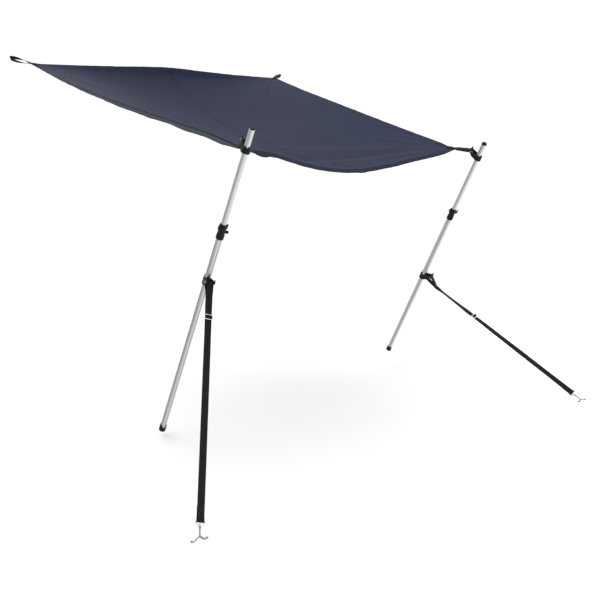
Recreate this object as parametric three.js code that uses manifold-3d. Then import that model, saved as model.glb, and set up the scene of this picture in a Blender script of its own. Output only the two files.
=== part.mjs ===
// A boat shade: a cloth canopy with two telescopic support poles and two tie-down straps.
// Millimetres, +Z up. The origin is the middle of the rear hem, the poles stand towards -Y.
import * as THREE from 'three';
import { mergeVertices } from 'three/addons/utils/BufferGeometryUtils.js';
import Module from 'manifold-3d';

const wasm = await Module();
wasm.setup();

// Driving dimensions: cloth
const CLOTH = { thick: 1.5, columns: 32, rows: 34 };
const REAR_LEFT = new THREE.Vector3(-723, 0, -31);
const REAR_RIGHT = new THREE.Vector3(723, 0, -17);
const FRONT_LEFT = new THREE.Vector3(-570, -1580, -421);
const FRONT_RIGHT = new THREE.Vector3(549, -1546, -427);
// How far the cloth hangs below straight lines, at shares of the way
const REAR_DROP = [
  { at: 0, drop: 0 }, { at: 0.25, drop: 2 }, { at: 0.5, drop: 0 }, { at: 0.75, drop: 5 }, { at: 1, drop: 0 },
];
const FRONT_DROP = [
  { at: 0, drop: 0 }, { at: 0.06, drop: 9 }, { at: 0.11, drop: 14 }, { at: 0.2, drop: 39 },
  { at: 0.31, drop: 64 }, { at: 0.42, drop: 74 }, { at: 0.52, drop: 73 }, { at: 0.65, drop: 56 },
  { at: 0.75, drop: 39 }, { at: 0.86, drop: 21 }, { at: 1, drop: 0 },
];
const MIDDLE_DROP = [
  { at: 0, drop: 0 }, { at: 0.025, drop: 40 }, { at: 0.086, drop: 84 }, { at: 0.2, drop: 131 },
  { at: 0.32, drop: 157 }, { at: 0.44, drop: 165 }, { at: 0.56, drop: 158 }, { at: 0.68, drop: 152 },
  { at: 0.78, drop: 139 }, { at: 0.88, drop: 114 }, { at: 1, drop: 75 },
];
const LEFT_DROP = [
  { at: 0, drop: 0 }, { at: 0.14, drop: 12 }, { at: 0.28, drop: 17 }, { at: 0.5, drop: 14 },
  { at: 0.75, drop: 1 }, { at: 0.9, drop: -7 }, { at: 1, drop: 0 },
];
const RIGHT_DROP = [
  { at: 0, drop: 0 }, { at: 0.2, drop: 5 }, { at: 0.4, drop: 4 }, { at: 0.7, drop: 2 },
  { at: 0.92, drop: -1 }, { at: 1, drop: 0 },
];
// The side and front borders turn down over their edges
const SIDE_BORDER = [
  { at: 0.03, drop: 2 }, { at: 0.28, drop: 9 }, { at: 0.5, drop: 15 }, { at: 0.75, drop: 17 },
  { at: 0.85, drop: 18 }, { at: 0.93, drop: 19 }, { at: 0.975, drop: 9 }, { at: 1, drop: 3 },
];
const FRONT_BORDER = [
  { at: 0, drop: 3 }, { at: 0.04, drop: 9 }, { at: 0.12, drop: 13 }, { at: 0.9, drop: 13 },
  { at: 1, drop: 3 },
];
// Soft folds that run out from the corners: direction as a share of the corner's angle
const FOLDS = [
  { u: 1, v: 1, turn: 0.2, spread: 0.05, high: 7, reach: 420 },
  { u: 1, v: 1, turn: 0.33, spread: 0.05, high: -6, reach: 460 },
  { u: 1, v: 1, turn: 0.5, spread: 0.06, high: 6, reach: 380 },
  { u: 0, v: 1, turn: 0.25, spread: 0.06, high: 5, reach: 300 },
  { u: 0, v: 1, turn: 0.55, spread: 0.07, high: -5, reach: 320 },
  { u: 1, v: 0, turn: 0.45, spread: 0.07, high: 5, reach: 260 },
  { u: 0, v: 0, turn: 0.5, spread: 0.08, high: 4, reach: 240 },
];

// Driving dimensions: webbing
const WEB = { wide: 25, thick: 1.6, gap: 0.4, layer: 1.9, onCloth: 2.3, tail: 34 };
const REAR_LOOP = { long: 102, half: 9.5 };
const LOOP_AIM = { left: [-82, 60, 25], right: [74, 62, 22] };
const LOOP_ROLL = { left: 31, right: -16 };

// Driving dimensions: poles, in the pole's own frame with +Z from the foot to the top
const POLE = { long: 1300, upperR: 9.9, lowerR: 11.6, lowerBore: 10.3, wall: 1.2, overlap: 120 };
const COLLAR_BELOW = 70;
const CLAMP_BELOW = 372;
const SLIDE_BELOW = { left: 575, right: 754 };
const GROOVE = { deep: 0.6, half: 0.09, angles: [0.3, 1.9, 3.44, 5.04] };
const RUN = 0.4;
const TOP = { left: [-590, -1672, -362], right: [590, -1668, -404] };
const FOOT = { left: [-680.1, -1124.7, -1537.7], right: [754.3, -980.9, -1495.3] };
const JAW = {
  ring: 15.5, pinAt: 42, pinR: 2.5, barAt: 22, barDrop: 7, barR: 3, rise: 24,
  earIn: 13.2, earThick: 3, earHalf: 5, tipUp: 6, fingerTurn: 38,
};
const TOP_COLLAR = { high: 19, fingerHigh: 5 };
const STRAP_SLIDE = { high: 24, fingerHigh: 12 };
const PIN = { head: 4.2, headLong: 2.2 };
const CLAMP = { half: 29, bulge: 14.5, waist: 12.6 };
const KNOB = { r: 5.6, out: 24.5, stem: 3.2 };
const LEVER = { high: 20, thick: 5 };
const CLAMP_TURN = { left: { knob: 180, lever: 205 }, right: { knob: 208, lever: 118 } };
const FOOT_CAP = { r: 13.6, high: 30, floor: 4, notchWide: 14, notchDeep: 9 };
const PLUG = { below: 3, long: 8 };
const DOME = { r: 10.8, high: 10, stem: 12 };

// Driving dimensions: tie-down straps
const HOOK_END = { left: [-946, -1893, -1501], right: [950, -1955, -1508] };
const ARM = { left: [-0.25, -0.968, 0], right: [0.38, -0.925, 0] };
const MEET = { left: { out: 52, down: 38 }, right: { out: 58, down: 54 } };
// Turn of the strap about its own line, in degrees at shares of its length
const STRAP_TWIST = {
  left: [{ at: 0, turn: 0 }, { at: 0.3, turn: -6 }, { at: 1, turn: -8 }],
  right: [{ at: 0, turn: 0 }, { at: 0.03, turn: -20 }, { at: 0.08, turn: -22 }, { at: 0.14, turn: -18 },
    { at: 0.2, turn: -13 }, { at: 0.26, turn: -1 }, { at: 0.28, turn: -1 }, { at: 0.325, turn: -1 },
    { at: 0.345, turn: 0 }, { at: 0.42, turn: 6 }, { at: 0.56, turn: 9 }, { at: 0.64, turn: 14 },
    { at: 0.78, turn: 15 }, { at: 0.9, turn: 20 }, { at: 1, turn: 25 }],
};
const SLIDER_AT = { left: 91, right: 240 };
const SLIDER = { wide: 33, pitch: 8.5, barR: 1.5, edge: 2.6 };
const RING = { wide: 35, foot: 14, straight: 5, high: 13, bar: 3, thick: 3 };
const STRAP_TAIL = 45;
const HOOK = { barrelR: 3.6, stemR: 2.4, stem: 29, armR: 2.9, thinR: 2, knob: 3.7, ball: 3.6 };
const HOOK_TURN = { left: -20, right: -80 };

const clothMaterial = new THREE.MeshStandardMaterial({ color: 0x2b2e4d, roughness: 0.85, metalness: 0 });
const webbingMaterial = new THREE.MeshStandardMaterial({ color: 0x17181b, roughness: 0.8, metalness: 0 });
const tubeMaterial = new THREE.MeshStandardMaterial({ color: 0xd5d8d9, roughness: 0.35, metalness: 0.9 });
const plasticMaterial = new THREE.MeshStandardMaterial({ color: 0x16191a, roughness: 0.5, metalness: 0 });
const steelMaterial = new THREE.MeshStandardMaterial({ color: 0xb8babb, roughness: 0.3, metalness: 1 });

const shade = new THREE.Group();
const vec = (list) => new THREE.Vector3(...list);
const turned = (degrees) => THREE.MathUtils.degToRad(degrees);
const between = (a, b, share) => a + (b - a) * share;

// Solids and joins
function bare(geometry) {
  const plain = geometry.index ? geometry.toNonIndexed() : geometry.clone();
  plain.deleteAttribute('normal');
  plain.deleteAttribute('uv');
  return mergeVertices(plain, 1e-4);
}

function outward(geometry) {
  const position = geometry.attributes.position;
  const index = geometry.index.array;
  const [a, b, c] = [new THREE.Vector3(), new THREE.Vector3(), new THREE.Vector3()];
  let volume = 0;
  for (let i = 0; i < index.length; i += 3) {
    a.fromBufferAttribute(position, index[i]);
    b.fromBufferAttribute(position, index[i + 1]);
    c.fromBufferAttribute(position, index[i + 2]);
    volume += a.dot(b.cross(c));
  }
  if (volume < 0) {
    for (let i = 0; i < index.length; i += 3) {
      [index[i], index[i + 1]] = [index[i + 1], index[i]];
    }
  }
  return geometry;
}

function toManifold(geometry) {
  const plain = outward(bare(geometry));
  return new wasm.Manifold(new wasm.Mesh({
    numProp: 3,
    vertProperties: new Float32Array(plain.attributes.position.array),
    triVerts: new Uint32Array(plain.index.array),
  }));
}

function toGeometry(manifold) {
  const mesh = manifold.getMesh();
  const geometry = new THREE.BufferGeometry();
  geometry.setAttribute('position', new THREE.BufferAttribute(new Float32Array(mesh.vertProperties), 3));
  geometry.setIndex(new THREE.BufferAttribute(new Uint32Array(mesh.triVerts), 1));
  return geometry;
}

function joined(pieces, cuts = []) {
  let body = toManifold(pieces[0]);
  for (const piece of pieces.slice(1)) body = body.add(toManifold(piece));
  for (const cut of cuts) body = body.subtract(toManifold(cut));
  return toGeometry(body);
}

function add(name, geometry, material, parent = shade) {
  const mesh = new THREE.Mesh(geometry, material);
  mesh.name = name;
  parent.add(mesh);
  return mesh;
}

// Round shapes about +Z
function circle(radius, sides) {
  const points = [];
  for (let i = 0; i < sides; i += 1) {
    const angle = (i / sides) * Math.PI * 2;
    points.push(new THREE.Vector2(radius * Math.cos(angle), radius * Math.sin(angle)));
  }
  return points;
}

function lifted(outline, hole, from, to) {
  const shape = new THREE.Shape(outline);
  if (hole) shape.holes.push(new THREE.Path(hole));
  const geometry = new THREE.ExtrudeGeometry(shape, { depth: to - from, bevelEnabled: false });
  return geometry.translate(0, 0, from);
}

function rod(radius, from, to, sides = 16) {
  return lifted(circle(radius, sides), null, from, to);
}

function turnedProfile(rows, sides = 24) {
  const points = rows.map(([radius, height]) => new THREE.Vector2(radius, height));
  return outward(bare(new THREE.LatheGeometry(points, sides).rotateX(Math.PI / 2)));
}

// A path that runs round stops, each on the left of the path when its radius is positive
function belt(stops) {
  const lines = [];
  for (let i = 0; i + 1 < stops.length; i += 1) {
    const [from, to] = [stops[i], stops[i + 1]];
    const [ds, dn] = [to.s - from.s, to.n - from.n];
    lines.push(Math.atan2(dn, ds) - Math.asin((to.r - from.r) / Math.hypot(ds, dn)));
  }
  const path = [];
  stops.forEach((stop, i) => {
    const start = lines[Math.max(i - 1, 0)];
    const end = lines[Math.min(i, lines.length - 1)];
    const full = Math.PI * 2;
    let bend = 0;
    if (stop.r > 0) bend = (((end - start) % full) + full) % full;
    if (stop.r < 0) bend = -((((start - end) % full) + full) % full);
    const steps = stop.r === 0 ? 0 : Math.max(1, Math.ceil(Math.abs(bend) / 0.55));
    for (let k = 0; k <= steps; k += 1) {
      const angle = start + (steps ? bend * k / steps : 0);
      path.push([stop.s + stop.r * Math.sin(angle), stop.n - stop.r * Math.cos(angle)]);
    }
  });
  return path;
}

// Flat webbing along a path; place(s, n, w) gives the point in space
function band(path, place, columns = 1) {
  const rows = path.map(([s, n], i) => {
    const before = path[Math.max(i - 1, 0)];
    const after = path[Math.min(i + 1, path.length - 1)];
    const inward = new THREE.Vector2(s - before[0], n - before[1]).normalize();
    const onward = new THREE.Vector2(after[0] - s, after[1] - n).normalize();
    const mean = inward.clone().add(onward).normalize();
    const whole = i > 0 && i < path.length - 1;
    const mitre = whole ? 1 / Math.max(0.6, mean.dot(onward)) : 1;
    const half = (WEB.thick / 2) * mitre;
    const [ns, nn] = [-mean.y * half, mean.x * half];
    const points = [];
    for (let c = 0; c <= columns; c += 1) points.push(place(s + ns, n + nn, WEB.wide * (c / columns - 0.5)));
    for (let c = columns; c >= 0; c -= 1) points.push(place(s - ns, n - nn, WEB.wide * (c / columns - 0.5)));
    return points;
  });
  return wrapped(rows, columns);
}

// A closed skin over rows of points; each row goes out along one face and back along the other.
// Both faces are cut along the same diagonals, so that a twist leaves them equally far apart.
function wrapped(rows, columns) {
  const around = 2 * (columns + 1);
  const index = [];
  for (let i = 0; i + 1 < rows.length; i += 1) {
    for (let k = 0; k < around; k += 1) {
      const next = (k + 1) % around;
      const [a, b] = [i * around + k, i * around + next];
      const [c, d] = [a + around, b + around];
      if (k <= columns) index.push(a, c, b, b, c, d);
      else index.push(a, c, d, a, d, b);
    }
  }
  for (const [base, flip] of [[0, false], [(rows.length - 1) * around, true]]) {
    for (let c = 0; c < columns; c += 1) {
      const [a, b] = [base + c, base + c + 1];
      const [d, e] = [base + around - 1 - c, base + around - 2 - c];
      if (flip) index.push(a, d, b, b, d, e);
      else index.push(a, b, d, b, e, d);
    }
  }
  const geometry = new THREE.BufferGeometry();
  const points = rows.flat().flatMap((point) => point.toArray());
  geometry.setAttribute('position', new THREE.Float32BufferAttribute(points, 3));
  geometry.setIndex(index);
  return outward(geometry);
}

// A smooth line through a table's values of one column, at a share of the way
function along(table, at, column = 'drop') {
  const first = table[0];
  const last = table[table.length - 1];
  if (at <= first.at) return first[column];
  if (at >= last.at) return last[column];
  const i = table.findIndex((row) => row.at >= at) - 1;
  const slope = (k) => {
    const [a, b] = [table[Math.max(k - 1, 0)], table[Math.min(k + 1, table.length - 1)]];
    return (b[column] - a[column]) / (b.at - a.at);
  };
  const [a, b] = [table[i], table[i + 1]];
  const wide = b.at - a.at;
  const t = (at - a.at) / wide;
  const [t2, t3] = [t * t, t * t * t];
  return (2 * t3 - 3 * t2 + 1) * a[column] + (t3 - 2 * t2 + t) * wide * slope(i)
    + (3 * t2 - 2 * t3) * b[column] + (t3 - t2) * wide * slope(i + 1);
}

// Cloth
function foldHeight(u, v, x, y) {
  const corners = { '00': REAR_LEFT, '10': REAR_RIGHT, '01': FRONT_LEFT, '11': FRONT_RIGHT };
  let high = 0;
  for (const fold of FOLDS) {
    const corner = corners[`${fold.u}${fold.v}`];
    const across = Math.abs(x - corner.x);
    const away = Math.abs(y - corner.y);
    const distance = Math.hypot(across, away);
    const turn = Math.atan2(away, across) / (Math.PI / 2);
    const ridge = Math.exp(-(((turn - fold.turn) / fold.spread) ** 2));
    const fade = (distance / fold.reach) * Math.exp(1 - distance / fold.reach);
    high += fold.high * ridge * fade ** 2;
  }
  const inside = Math.max(0, 16 * u * (1 - u) * v * (1 - v));
  return high * Math.min(1, inside * 2.5);
}

function clothPoint(u, v) {
  const x = between(between(REAR_LEFT.x, REAR_RIGHT.x, u), between(FRONT_LEFT.x, FRONT_RIGHT.x, u), v);
  const y = between(between(REAR_LEFT.y, REAR_RIGHT.y, u), between(FRONT_LEFT.y, FRONT_RIGHT.y, u), v);
  const side = 2 * u - 1;
  const rearZ = (side < 0 ? REAR_LEFT.z : REAR_RIGHT.z) * Math.abs(side);
  const frontZ = between(FRONT_LEFT.z, FRONT_RIGHT.z, u);
  const ends = between(along(REAR_DROP, u), along(FRONT_DROP, u), v);
  const sides = between(along(LEFT_DROP, v), along(RIGHT_DROP, v), u);
  const middleEnds = between(0, along(FRONT_DROP, 0.5), v);
  const middleSides = between(along(LEFT_DROP, v), along(RIGHT_DROP, v), 0.5);
  const belly = Math.max(0, 1 - 0.86 * Math.abs(side) ** 1.9 - 0.14 * Math.abs(side));
  const drop = ends + sides + (along(MIDDLE_DROP, v) - middleEnds - middleSides) * belly;
  return new THREE.Vector3(x, y, between(rearZ, frontZ, v) - drop + foldHeight(u, v, x, y));
}

function clothNormal(u, v) {
  const step = 0.004;
  const acrossWay = clothPoint(u + step, v).sub(clothPoint(u - step, v));
  const frontWay = clothPoint(u, v + step).sub(clothPoint(u, v - step));
  return frontWay.cross(acrossWay).normalize();
}

// The border hangs from an edge and waves a little
function borderPoint(u, v) {
  const point = clothPoint(Math.min(Math.max(u, 0), 1), Math.min(v, 1));
  const sideways = u < 0 ? -1 : 1;
  if (v > 1) {
    const deep = along(FRONT_BORDER, u);
    point.z -= deep;
    point.y -= 0.25 * deep;
    return point;
  }
  const wave = 1.8 * Math.sin(v * 41) + 1.2 * Math.sin(v * 23 + 1);
  const deep = Math.max(2, along(SIDE_BORDER, v) + wave * v);
  point.z -= deep;
  point.x += sideways * 0.22 * deep;
  return point;
}

function clothGrid() {
  const rows = [];
  for (let j = 0; j <= CLOTH.rows + 1; j += 1) {
    const v = j > CLOTH.rows ? 2 : (j / CLOTH.rows) ** 1.3;
    const row = [borderPoint(-1, Math.min(v, 1))];
    for (let i = 0; i <= CLOTH.columns; i += 1) {
      const u = i / CLOTH.columns;
      row.push(v > 1 ? borderPoint(u, v) : clothPoint(u, v));
    }
    row.push(borderPoint(2, Math.min(v, 1)));
    rows.push(row);
  }
  return rows;
}

function clothSheet() {
  const rows = clothGrid();
  const wide = rows[0].length;
  // The border's own corner lies midway between the two borders that meet there
  for (const [column, beside] of [[0, 1], [wide - 1, wide - 2]]) {
    const last = rows.length - 1;
    const sidePoint = rows[last - 1][column];
    rows[last][column] = sidePoint.clone().add(rows[last][beside]).multiplyScalar(0.5);
    rows[last][column].y -= 2;
  }
  const normals = rows.map((row) => row.map(() => new THREE.Vector3()));
  for (let j = 0; j + 1 < rows.length; j += 1) {
    for (let i = 0; i + 1 < wide; i += 1) {
      const diagonal = rows[j + 1][i + 1].clone().sub(rows[j][i]);
      const other = rows[j + 1][i].clone().sub(rows[j][i + 1]);
      const face = other.cross(diagonal).normalize();
      for (const [b, a] of [[j, i], [j + 1, i], [j, i + 1], [j + 1, i + 1]]) normals[b][a].add(face);
    }
  }
  const half = CLOTH.thick / 2;
  const skins = rows.map((row, j) => {
    const upper = row.map((point, i) => point.clone().addScaledVector(normals[j][i].normalize(), half));
    const lower = row.map((point, i) => point.clone().addScaledVector(normals[j][i], -half));
    return [...upper, ...lower.reverse()];
  });
  return wrapped(skins, wide - 1);
}

// Webbing that is sewn on a corner of the cloth and leads off it
const CORNERS = {
  rear_left: { u: 0, v: 0, tip: REAR_LEFT },
  rear_right: { u: 1, v: 0, tip: REAR_RIGHT },
  front_left: { u: 0, v: 1, tip: FRONT_LEFT },
  front_right: { u: 1, v: 1, tip: FRONT_RIGHT },
};

// place(s, n, w): on the cloth where s < 0, and on towards the end point where s > 0
function cornerPlace(corner, end, endAcross, tailAim) {
  const step = 0.002;
  const uWay = clothPoint(corner.u + step, corner.v).sub(clothPoint(corner.u - step, corner.v))
    .divideScalar(2 * step);
  const vWay = clothPoint(corner.u, corner.v + step).sub(clothPoint(corner.u, corner.v - step))
    .divideScalar(2 * step);
  const flatCross = uWay.x * vWay.y - uWay.y * vWay.x;
  const onCloth = (x, y) => {
    const du = (x * vWay.y - y * vWay.x) / flatCross;
    const dv = (uWay.x * y - uWay.y * x) / flatCross;
    return [corner.u + du, corner.v + dv];
  };
  const out = tailAim.clone().setZ(0).normalize();
  const side = new THREE.Vector3(-out.y, out.x, 0);
  const lay = (s, w, n) => {
    const [u, v] = onCloth(out.x * s + side.x * w, out.y * s + side.y * w);
    return clothPoint(u, v).addScaledVector(clothNormal(u, v), n);
  };
  const tipPoint = lay(0, 0, 0);
  const tipOut = tipPoint.clone().sub(lay(-6, 0, 0)).normalize();
  const tipUp = clothNormal(corner.u, corner.v);
  const tipSide = tipUp.clone().cross(tipOut).normalize();
  const long = end.distanceTo(tipPoint);
  const endOut = end.clone().sub(tipPoint).normalize();
  const endSide = endAcross.clone().addScaledVector(endOut, -endAcross.dot(endOut)).normalize();
  if (endSide.dot(tipSide) < 0) endSide.negate();
  const bend = new THREE.CubicBezierCurve3(tipPoint,
    tipPoint.clone().addScaledVector(tipOut, long * 0.25),
    end.clone().addScaledVector(endOut, -long * 0.35), end);
  const place = (s, n, w) => {
    if (s < 0) return lay(s, w, n);
    const share = Math.min(s / long, 1);
    const mix = share * share * (3 - 2 * share);
    const across = tipSide.clone().multiplyScalar(1 - mix).addScaledVector(endSide, mix).normalize();
    const point = bend.getPoint(share);
    const onward = bend.getTangent(share);
    const up = onward.clone().cross(across).normalize();
    point.addScaledVector(onward, Math.max(0, s - long));
    return point.addScaledVector(up, n).addScaledVector(across, w);
  };
  return { place, long };
}

// A loop of webbing, seen from its edge as a drop, with both tails sewn on the cloth
function rearLoop(side) {
  const corner = CORNERS[`rear_${side}`];
  const aim = vec(LOOP_AIM[side]).normalize();
  const end = corner.tip.clone().addScaledVector(aim, REAR_LOOP.long);
  const across = new THREE.Vector3(-aim.y, aim.x, 0).normalize().applyAxisAngle(aim, turned(LOOP_ROLL[side]));
  const { place, long } = cornerPlace(corner, end, across, aim);
  const middle = WEB.onCloth + WEB.layer / 2;
  const path = [];
  for (let k = 0; k < 5; k += 1) path.push([between(-WEB.tail, -4, k / 4), WEB.onCloth + WEB.layer]);
  for (let k = 0; k <= 24; k += 1) {
    const angle = between(0.42, Math.PI * 2 - 0.42, k / 24);
    const s = (long / 2) * (1 - Math.cos(angle));
    path.push([s, middle + (REAR_LOOP.half + 0.8) * Math.sin(angle) * Math.sin(angle / 2) ** 1.1]);
  }
  for (let k = 0; k < 5; k += 1) path.push([between(-4, -WEB.tail, k / 4), WEB.onCloth]);
  add(`rear_loop_${side}`, band(path, place, 4), webbingMaterial);
}

// Poles
function poleFrame(side) {
  const pole = new THREE.Group();
  const up = vec(TOP[side]).sub(vec(FOOT[side])).normalize();
  pole.position.copy(vec(FOOT[side]));
  pole.quaternion.setFromUnitVectors(new THREE.Vector3(0, 0, 1), up);
  shade.add(pole);
  shade.updateMatrixWorld(true);
  return pole;
}

// A fitting on a pole, its own +Y turned towards a direction in space
function fittingFrame(pole, height, aim) {
  const fitting = new THREE.Group();
  const local = aim.clone().transformDirection(pole.matrixWorld.clone().invert());
  fitting.position.set(0, 0, height);
  fitting.rotation.z = Math.atan2(local.y, local.x) - Math.PI / 2;
  pole.add(fitting);
  shade.updateMatrixWorld(true);
  return fitting;
}

// A plate that stands across X, outlined in Y and Z
function plate(outline, from, to) {
  const points = outline.map(([y, z]) => new THREE.Vector2(y, z));
  const geometry = lifted(points, null, from, to);
  return geometry.applyMatrix4(new THREE.Matrix4().makeBasis(
    new THREE.Vector3(0, 1, 0), new THREE.Vector3(0, 0, 1), new THREE.Vector3(1, 0, 0)));
}

function acrossRod(radius, y, z, from, to, sides = 16) {
  return rod(radius, from, to, sides).applyMatrix4(new THREE.Matrix4().makeBasis(
    new THREE.Vector3(0, 1, 0), new THREE.Vector3(0, 0, 1), new THREE.Vector3(1, 0, 0))).translate(0, y, z);
}

// The jaw's line runs out from the pole and up; these give a place on it
function jawY(out, down = 0) {
  return out * Math.cos(turned(JAW.rise)) + down * Math.sin(turned(JAW.rise));
}

function jawZ(out, down = 0) {
  return out * Math.sin(turned(JAW.rise)) - down * Math.cos(turned(JAW.rise));
}

function slideCollar(name, pinName, frame, tubeR, { high, fingerHigh }) {
  const ring = lifted(circle(JAW.ring, 24), circle(tubeR + RUN, 24), -high / 2, high / 2);
  const tip = JAW.pinAt + 7;
  const ear = [
    [2, -high / 2], [jawY(JAW.barAt + 5, JAW.barDrop + 3), jawZ(JAW.barAt + 5, JAW.barDrop + 3)],
    [jawY(JAW.pinAt - 4, JAW.earHalf), jawZ(JAW.pinAt - 4, JAW.earHalf)],
    [jawY(tip - 2, JAW.earHalf), jawZ(tip - 2, JAW.earHalf)],
    [jawY(tip, JAW.earHalf - 3), jawZ(tip, JAW.earHalf - 3)],
    [jawY(tip + 1, -JAW.earHalf - JAW.tipUp), jawZ(tip + 1, -JAW.earHalf - JAW.tipUp)],
    [jawY(tip - 3, -JAW.earHalf - JAW.tipUp), jawZ(tip - 3, -JAW.earHalf - JAW.tipUp)],
    [jawY(tip - 6, -JAW.earHalf), jawZ(tip - 6, -JAW.earHalf)],
    [2, high / 2],
  ];
  const pieces = [ring];
  const outer = JAW.earIn + JAW.earThick;
  for (const side of [-1, 1]) {
    const [from, to] = side < 0 ? [-outer, -JAW.earIn] : [JAW.earIn, outer];
    pieces.push(plate(ear, from, to));
  }
  const [barY, barZ] = [jawY(JAW.barAt, JAW.barDrop), jawZ(JAW.barAt, JAW.barDrop)];
  pieces.push(acrossRod(JAW.barR, barY, barZ, -outer + 1, outer - 1));
  for (const turn of [180 - JAW.fingerTurn, 180 + JAW.fingerTurn]) {
    const finger = plate([[tubeR + RUN + 0.6, high / 2 - 4], [JAW.ring - 0.2, high / 2 - 4],
      [JAW.ring - 0.6, high / 2 + fingerHigh / 3], [tubeR + RUN + 2, high / 2 + fingerHigh],
      [tubeR + RUN + 0.6, high / 2 + fingerHigh]], -3.5, 3.5);
    pieces.push(finger.rotateZ(-turned(turn)));
  }
  const bore = rod(tubeR + RUN, -high, high * 2, 24);
  const [pinY, pinZ] = [jawY(JAW.pinAt), jawZ(JAW.pinAt)];
  const pinHole = acrossRod(JAW.pinR + 0.35, pinY, pinZ, -outer - 5, outer + 5);
  add(name, joined(pieces, [bore, pinHole]), plasticMaterial, frame);
  const inside = outer + 0.3;
  const pin = joined([
    acrossRod(JAW.pinR, pinY, pinZ, -inside - 1, inside + 1),
    acrossRod(PIN.head, pinY, pinZ, inside, inside + PIN.headLong),
    acrossRod(PIN.head, pinY, pinZ, -inside - PIN.headLong, -inside),
  ]);
  add(pinName, pin, steelMaterial, frame);
}

function middleClamp(side, pole) {
  const low = POLE.lowerR + RUN;
  const high = POLE.upperR + RUN;
  const { half, bulge, waist } = CLAMP;
  const body = turnedProfile([
    [low, -half], [bulge - 2, -half], [bulge, -half + 3], [bulge, -half * 0.45], [waist + 0.4, -3],
    [waist + 0.4, 3], [bulge - 0.6, half * 0.4], [bulge - 0.6, half - 5], [high + 1.6, half], [high, half],
    [high, -1], [low, -1], [low, -half],
  ]);
  const frame = new THREE.Group();
  frame.position.set(0, 0, POLE.long - CLAMP_BELOW);
  pole.add(frame);
  shade.updateMatrixWorld(true);
  const aims = CLAMP_TURN[side];
  const knobTurn = new THREE.Matrix4().makeRotationZ(poleTurn(pole, side) + turned(aims.knob));
  const leverTurn = new THREE.Matrix4().makeRotationZ(poleTurn(pole, side) + turned(aims.lever));
  const toX = new THREE.Matrix4().makeRotationY(Math.PI / 2);
  const boss = rod(KNOB.stem + 2, 10.9, 16.2).applyMatrix4(toX).applyMatrix4(knobTurn);
  const hinge = new THREE.BoxGeometry(6, 7, 10).translate(14.2, 0, 12).applyMatrix4(leverTurn);
  const lug = plate([[-12, 6], [-16, 6], [-18, 10], [-18, 21], [-15.5, 24.5], [-12, 20]], -4, 4)
    .rotateZ(-Math.PI / 2).applyMatrix4(leverTurn);
  const bore = turnedProfile([[0, -half - 1], [low, -half - 1], [low, -1], [high, -1], [high, half + 1],
    [0, half + 1]]);
  add(`mid_clamp_${side}`, joined([body, boss, hinge, lug], [bore]), plasticMaterial, frame);
  const knob = turnedProfile([[0, 16.5], [KNOB.r - 1, 16.5], [KNOB.r, 17.5], [KNOB.r, KNOB.out - 1.5],
    [KNOB.r - 1.6, KNOB.out], [0, KNOB.out]], 16);
  add(`clamp_knob_${side}`, knob.applyMatrix4(toX).applyMatrix4(knobTurn), plasticMaterial, frame);
  const fin = plate([[17.5, 8], [20, 8], [21.5, 13], [21.5, LEVER.high + 4], [20.4, LEVER.high + 8],
    [17.5, 19]], -LEVER.thick / 2, LEVER.thick / 2).rotateZ(-Math.PI / 2);
  add(`clamp_lever_${side}`, fin.applyMatrix4(leverTurn), plasticMaterial, frame);
}

// The turn about the pole at which a fitting's +X lies along the strap pin
function poleTurn(pole, side) {
  const local = vec(ARM[side]).transformDirection(pole.matrixWorld.clone().invert());
  return Math.atan2(local.y, local.x) - Math.PI / 2;
}

function groovedOutline() {
  const points = [];
  const sides = 48;
  for (let i = 0; i < sides; i += 1) {
    const angle = (i / sides) * Math.PI * 2;
    const inGroove = GROOVE.angles.some((at) => Math.abs(angle - at) < GROOVE.half);
    const radius = POLE.lowerR - (inGroove ? GROOVE.deep : 0);
    points.push(new THREE.Vector2(radius * Math.cos(angle), radius * Math.sin(angle)));
  }
  return points;
}

function poleTubes(side, pole) {
  const joint = POLE.long - CLAMP_BELOW;
  const top = side === 'right' ? POLE.long - DOME.high / 2 : POLE.long;
  const bore = circle(POLE.upperR - POLE.wall, 24);
  const upper = lifted(circle(POLE.upperR, 24), bore, joint - POLE.overlap, top);
  add(`upper_tube_${side}`, upper, tubeMaterial, pole);
  const lower = lifted(groovedOutline(), circle(POLE.lowerBore, 24), FOOT_CAP.floor + RUN, joint - 1.4);
  add(`lower_tube_${side}`, lower, tubeMaterial, pole);
  const inside = POLE.upperR - POLE.wall - 0.3;
  if (side === 'left') {
    const plug = rod(inside, top - PLUG.below - PLUG.long, top - PLUG.below, 24);
    add('top_plug_left', plug, plasticMaterial, pole);
  } else {
    const cap = turnedProfile([
      [0, top - DOME.stem], [inside, top - DOME.stem], [inside, top + 0.3], [DOME.r, top + 0.3],
      [DOME.r, top + 5], [DOME.r * 0.86, top + 8], [DOME.r * 0.45, top + DOME.high], [0, top + DOME.high],
    ]);
    add('top_cap_right', cap, plasticMaterial, pole);
  }
}

function footCap(side, pole) {
  const { r, high, floor, notchWide, notchDeep } = FOOT_CAP;
  const bore = POLE.lowerR + RUN;
  const cup = turnedProfile([[0, 0], [r - 1.2, 0], [r, 1.4], [r, high], [bore, high], [bore, floor],
    [0, floor]]);
  const notch = new THREE.BoxGeometry(notchWide, 4 * r, notchDeep * 2).translate(0, 0, high)
    .rotateZ(poleTurn(pole, side));
  add(`foot_cap_${side}`, joined([cup], [notch]), plasticMaterial, pole);
}

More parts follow.
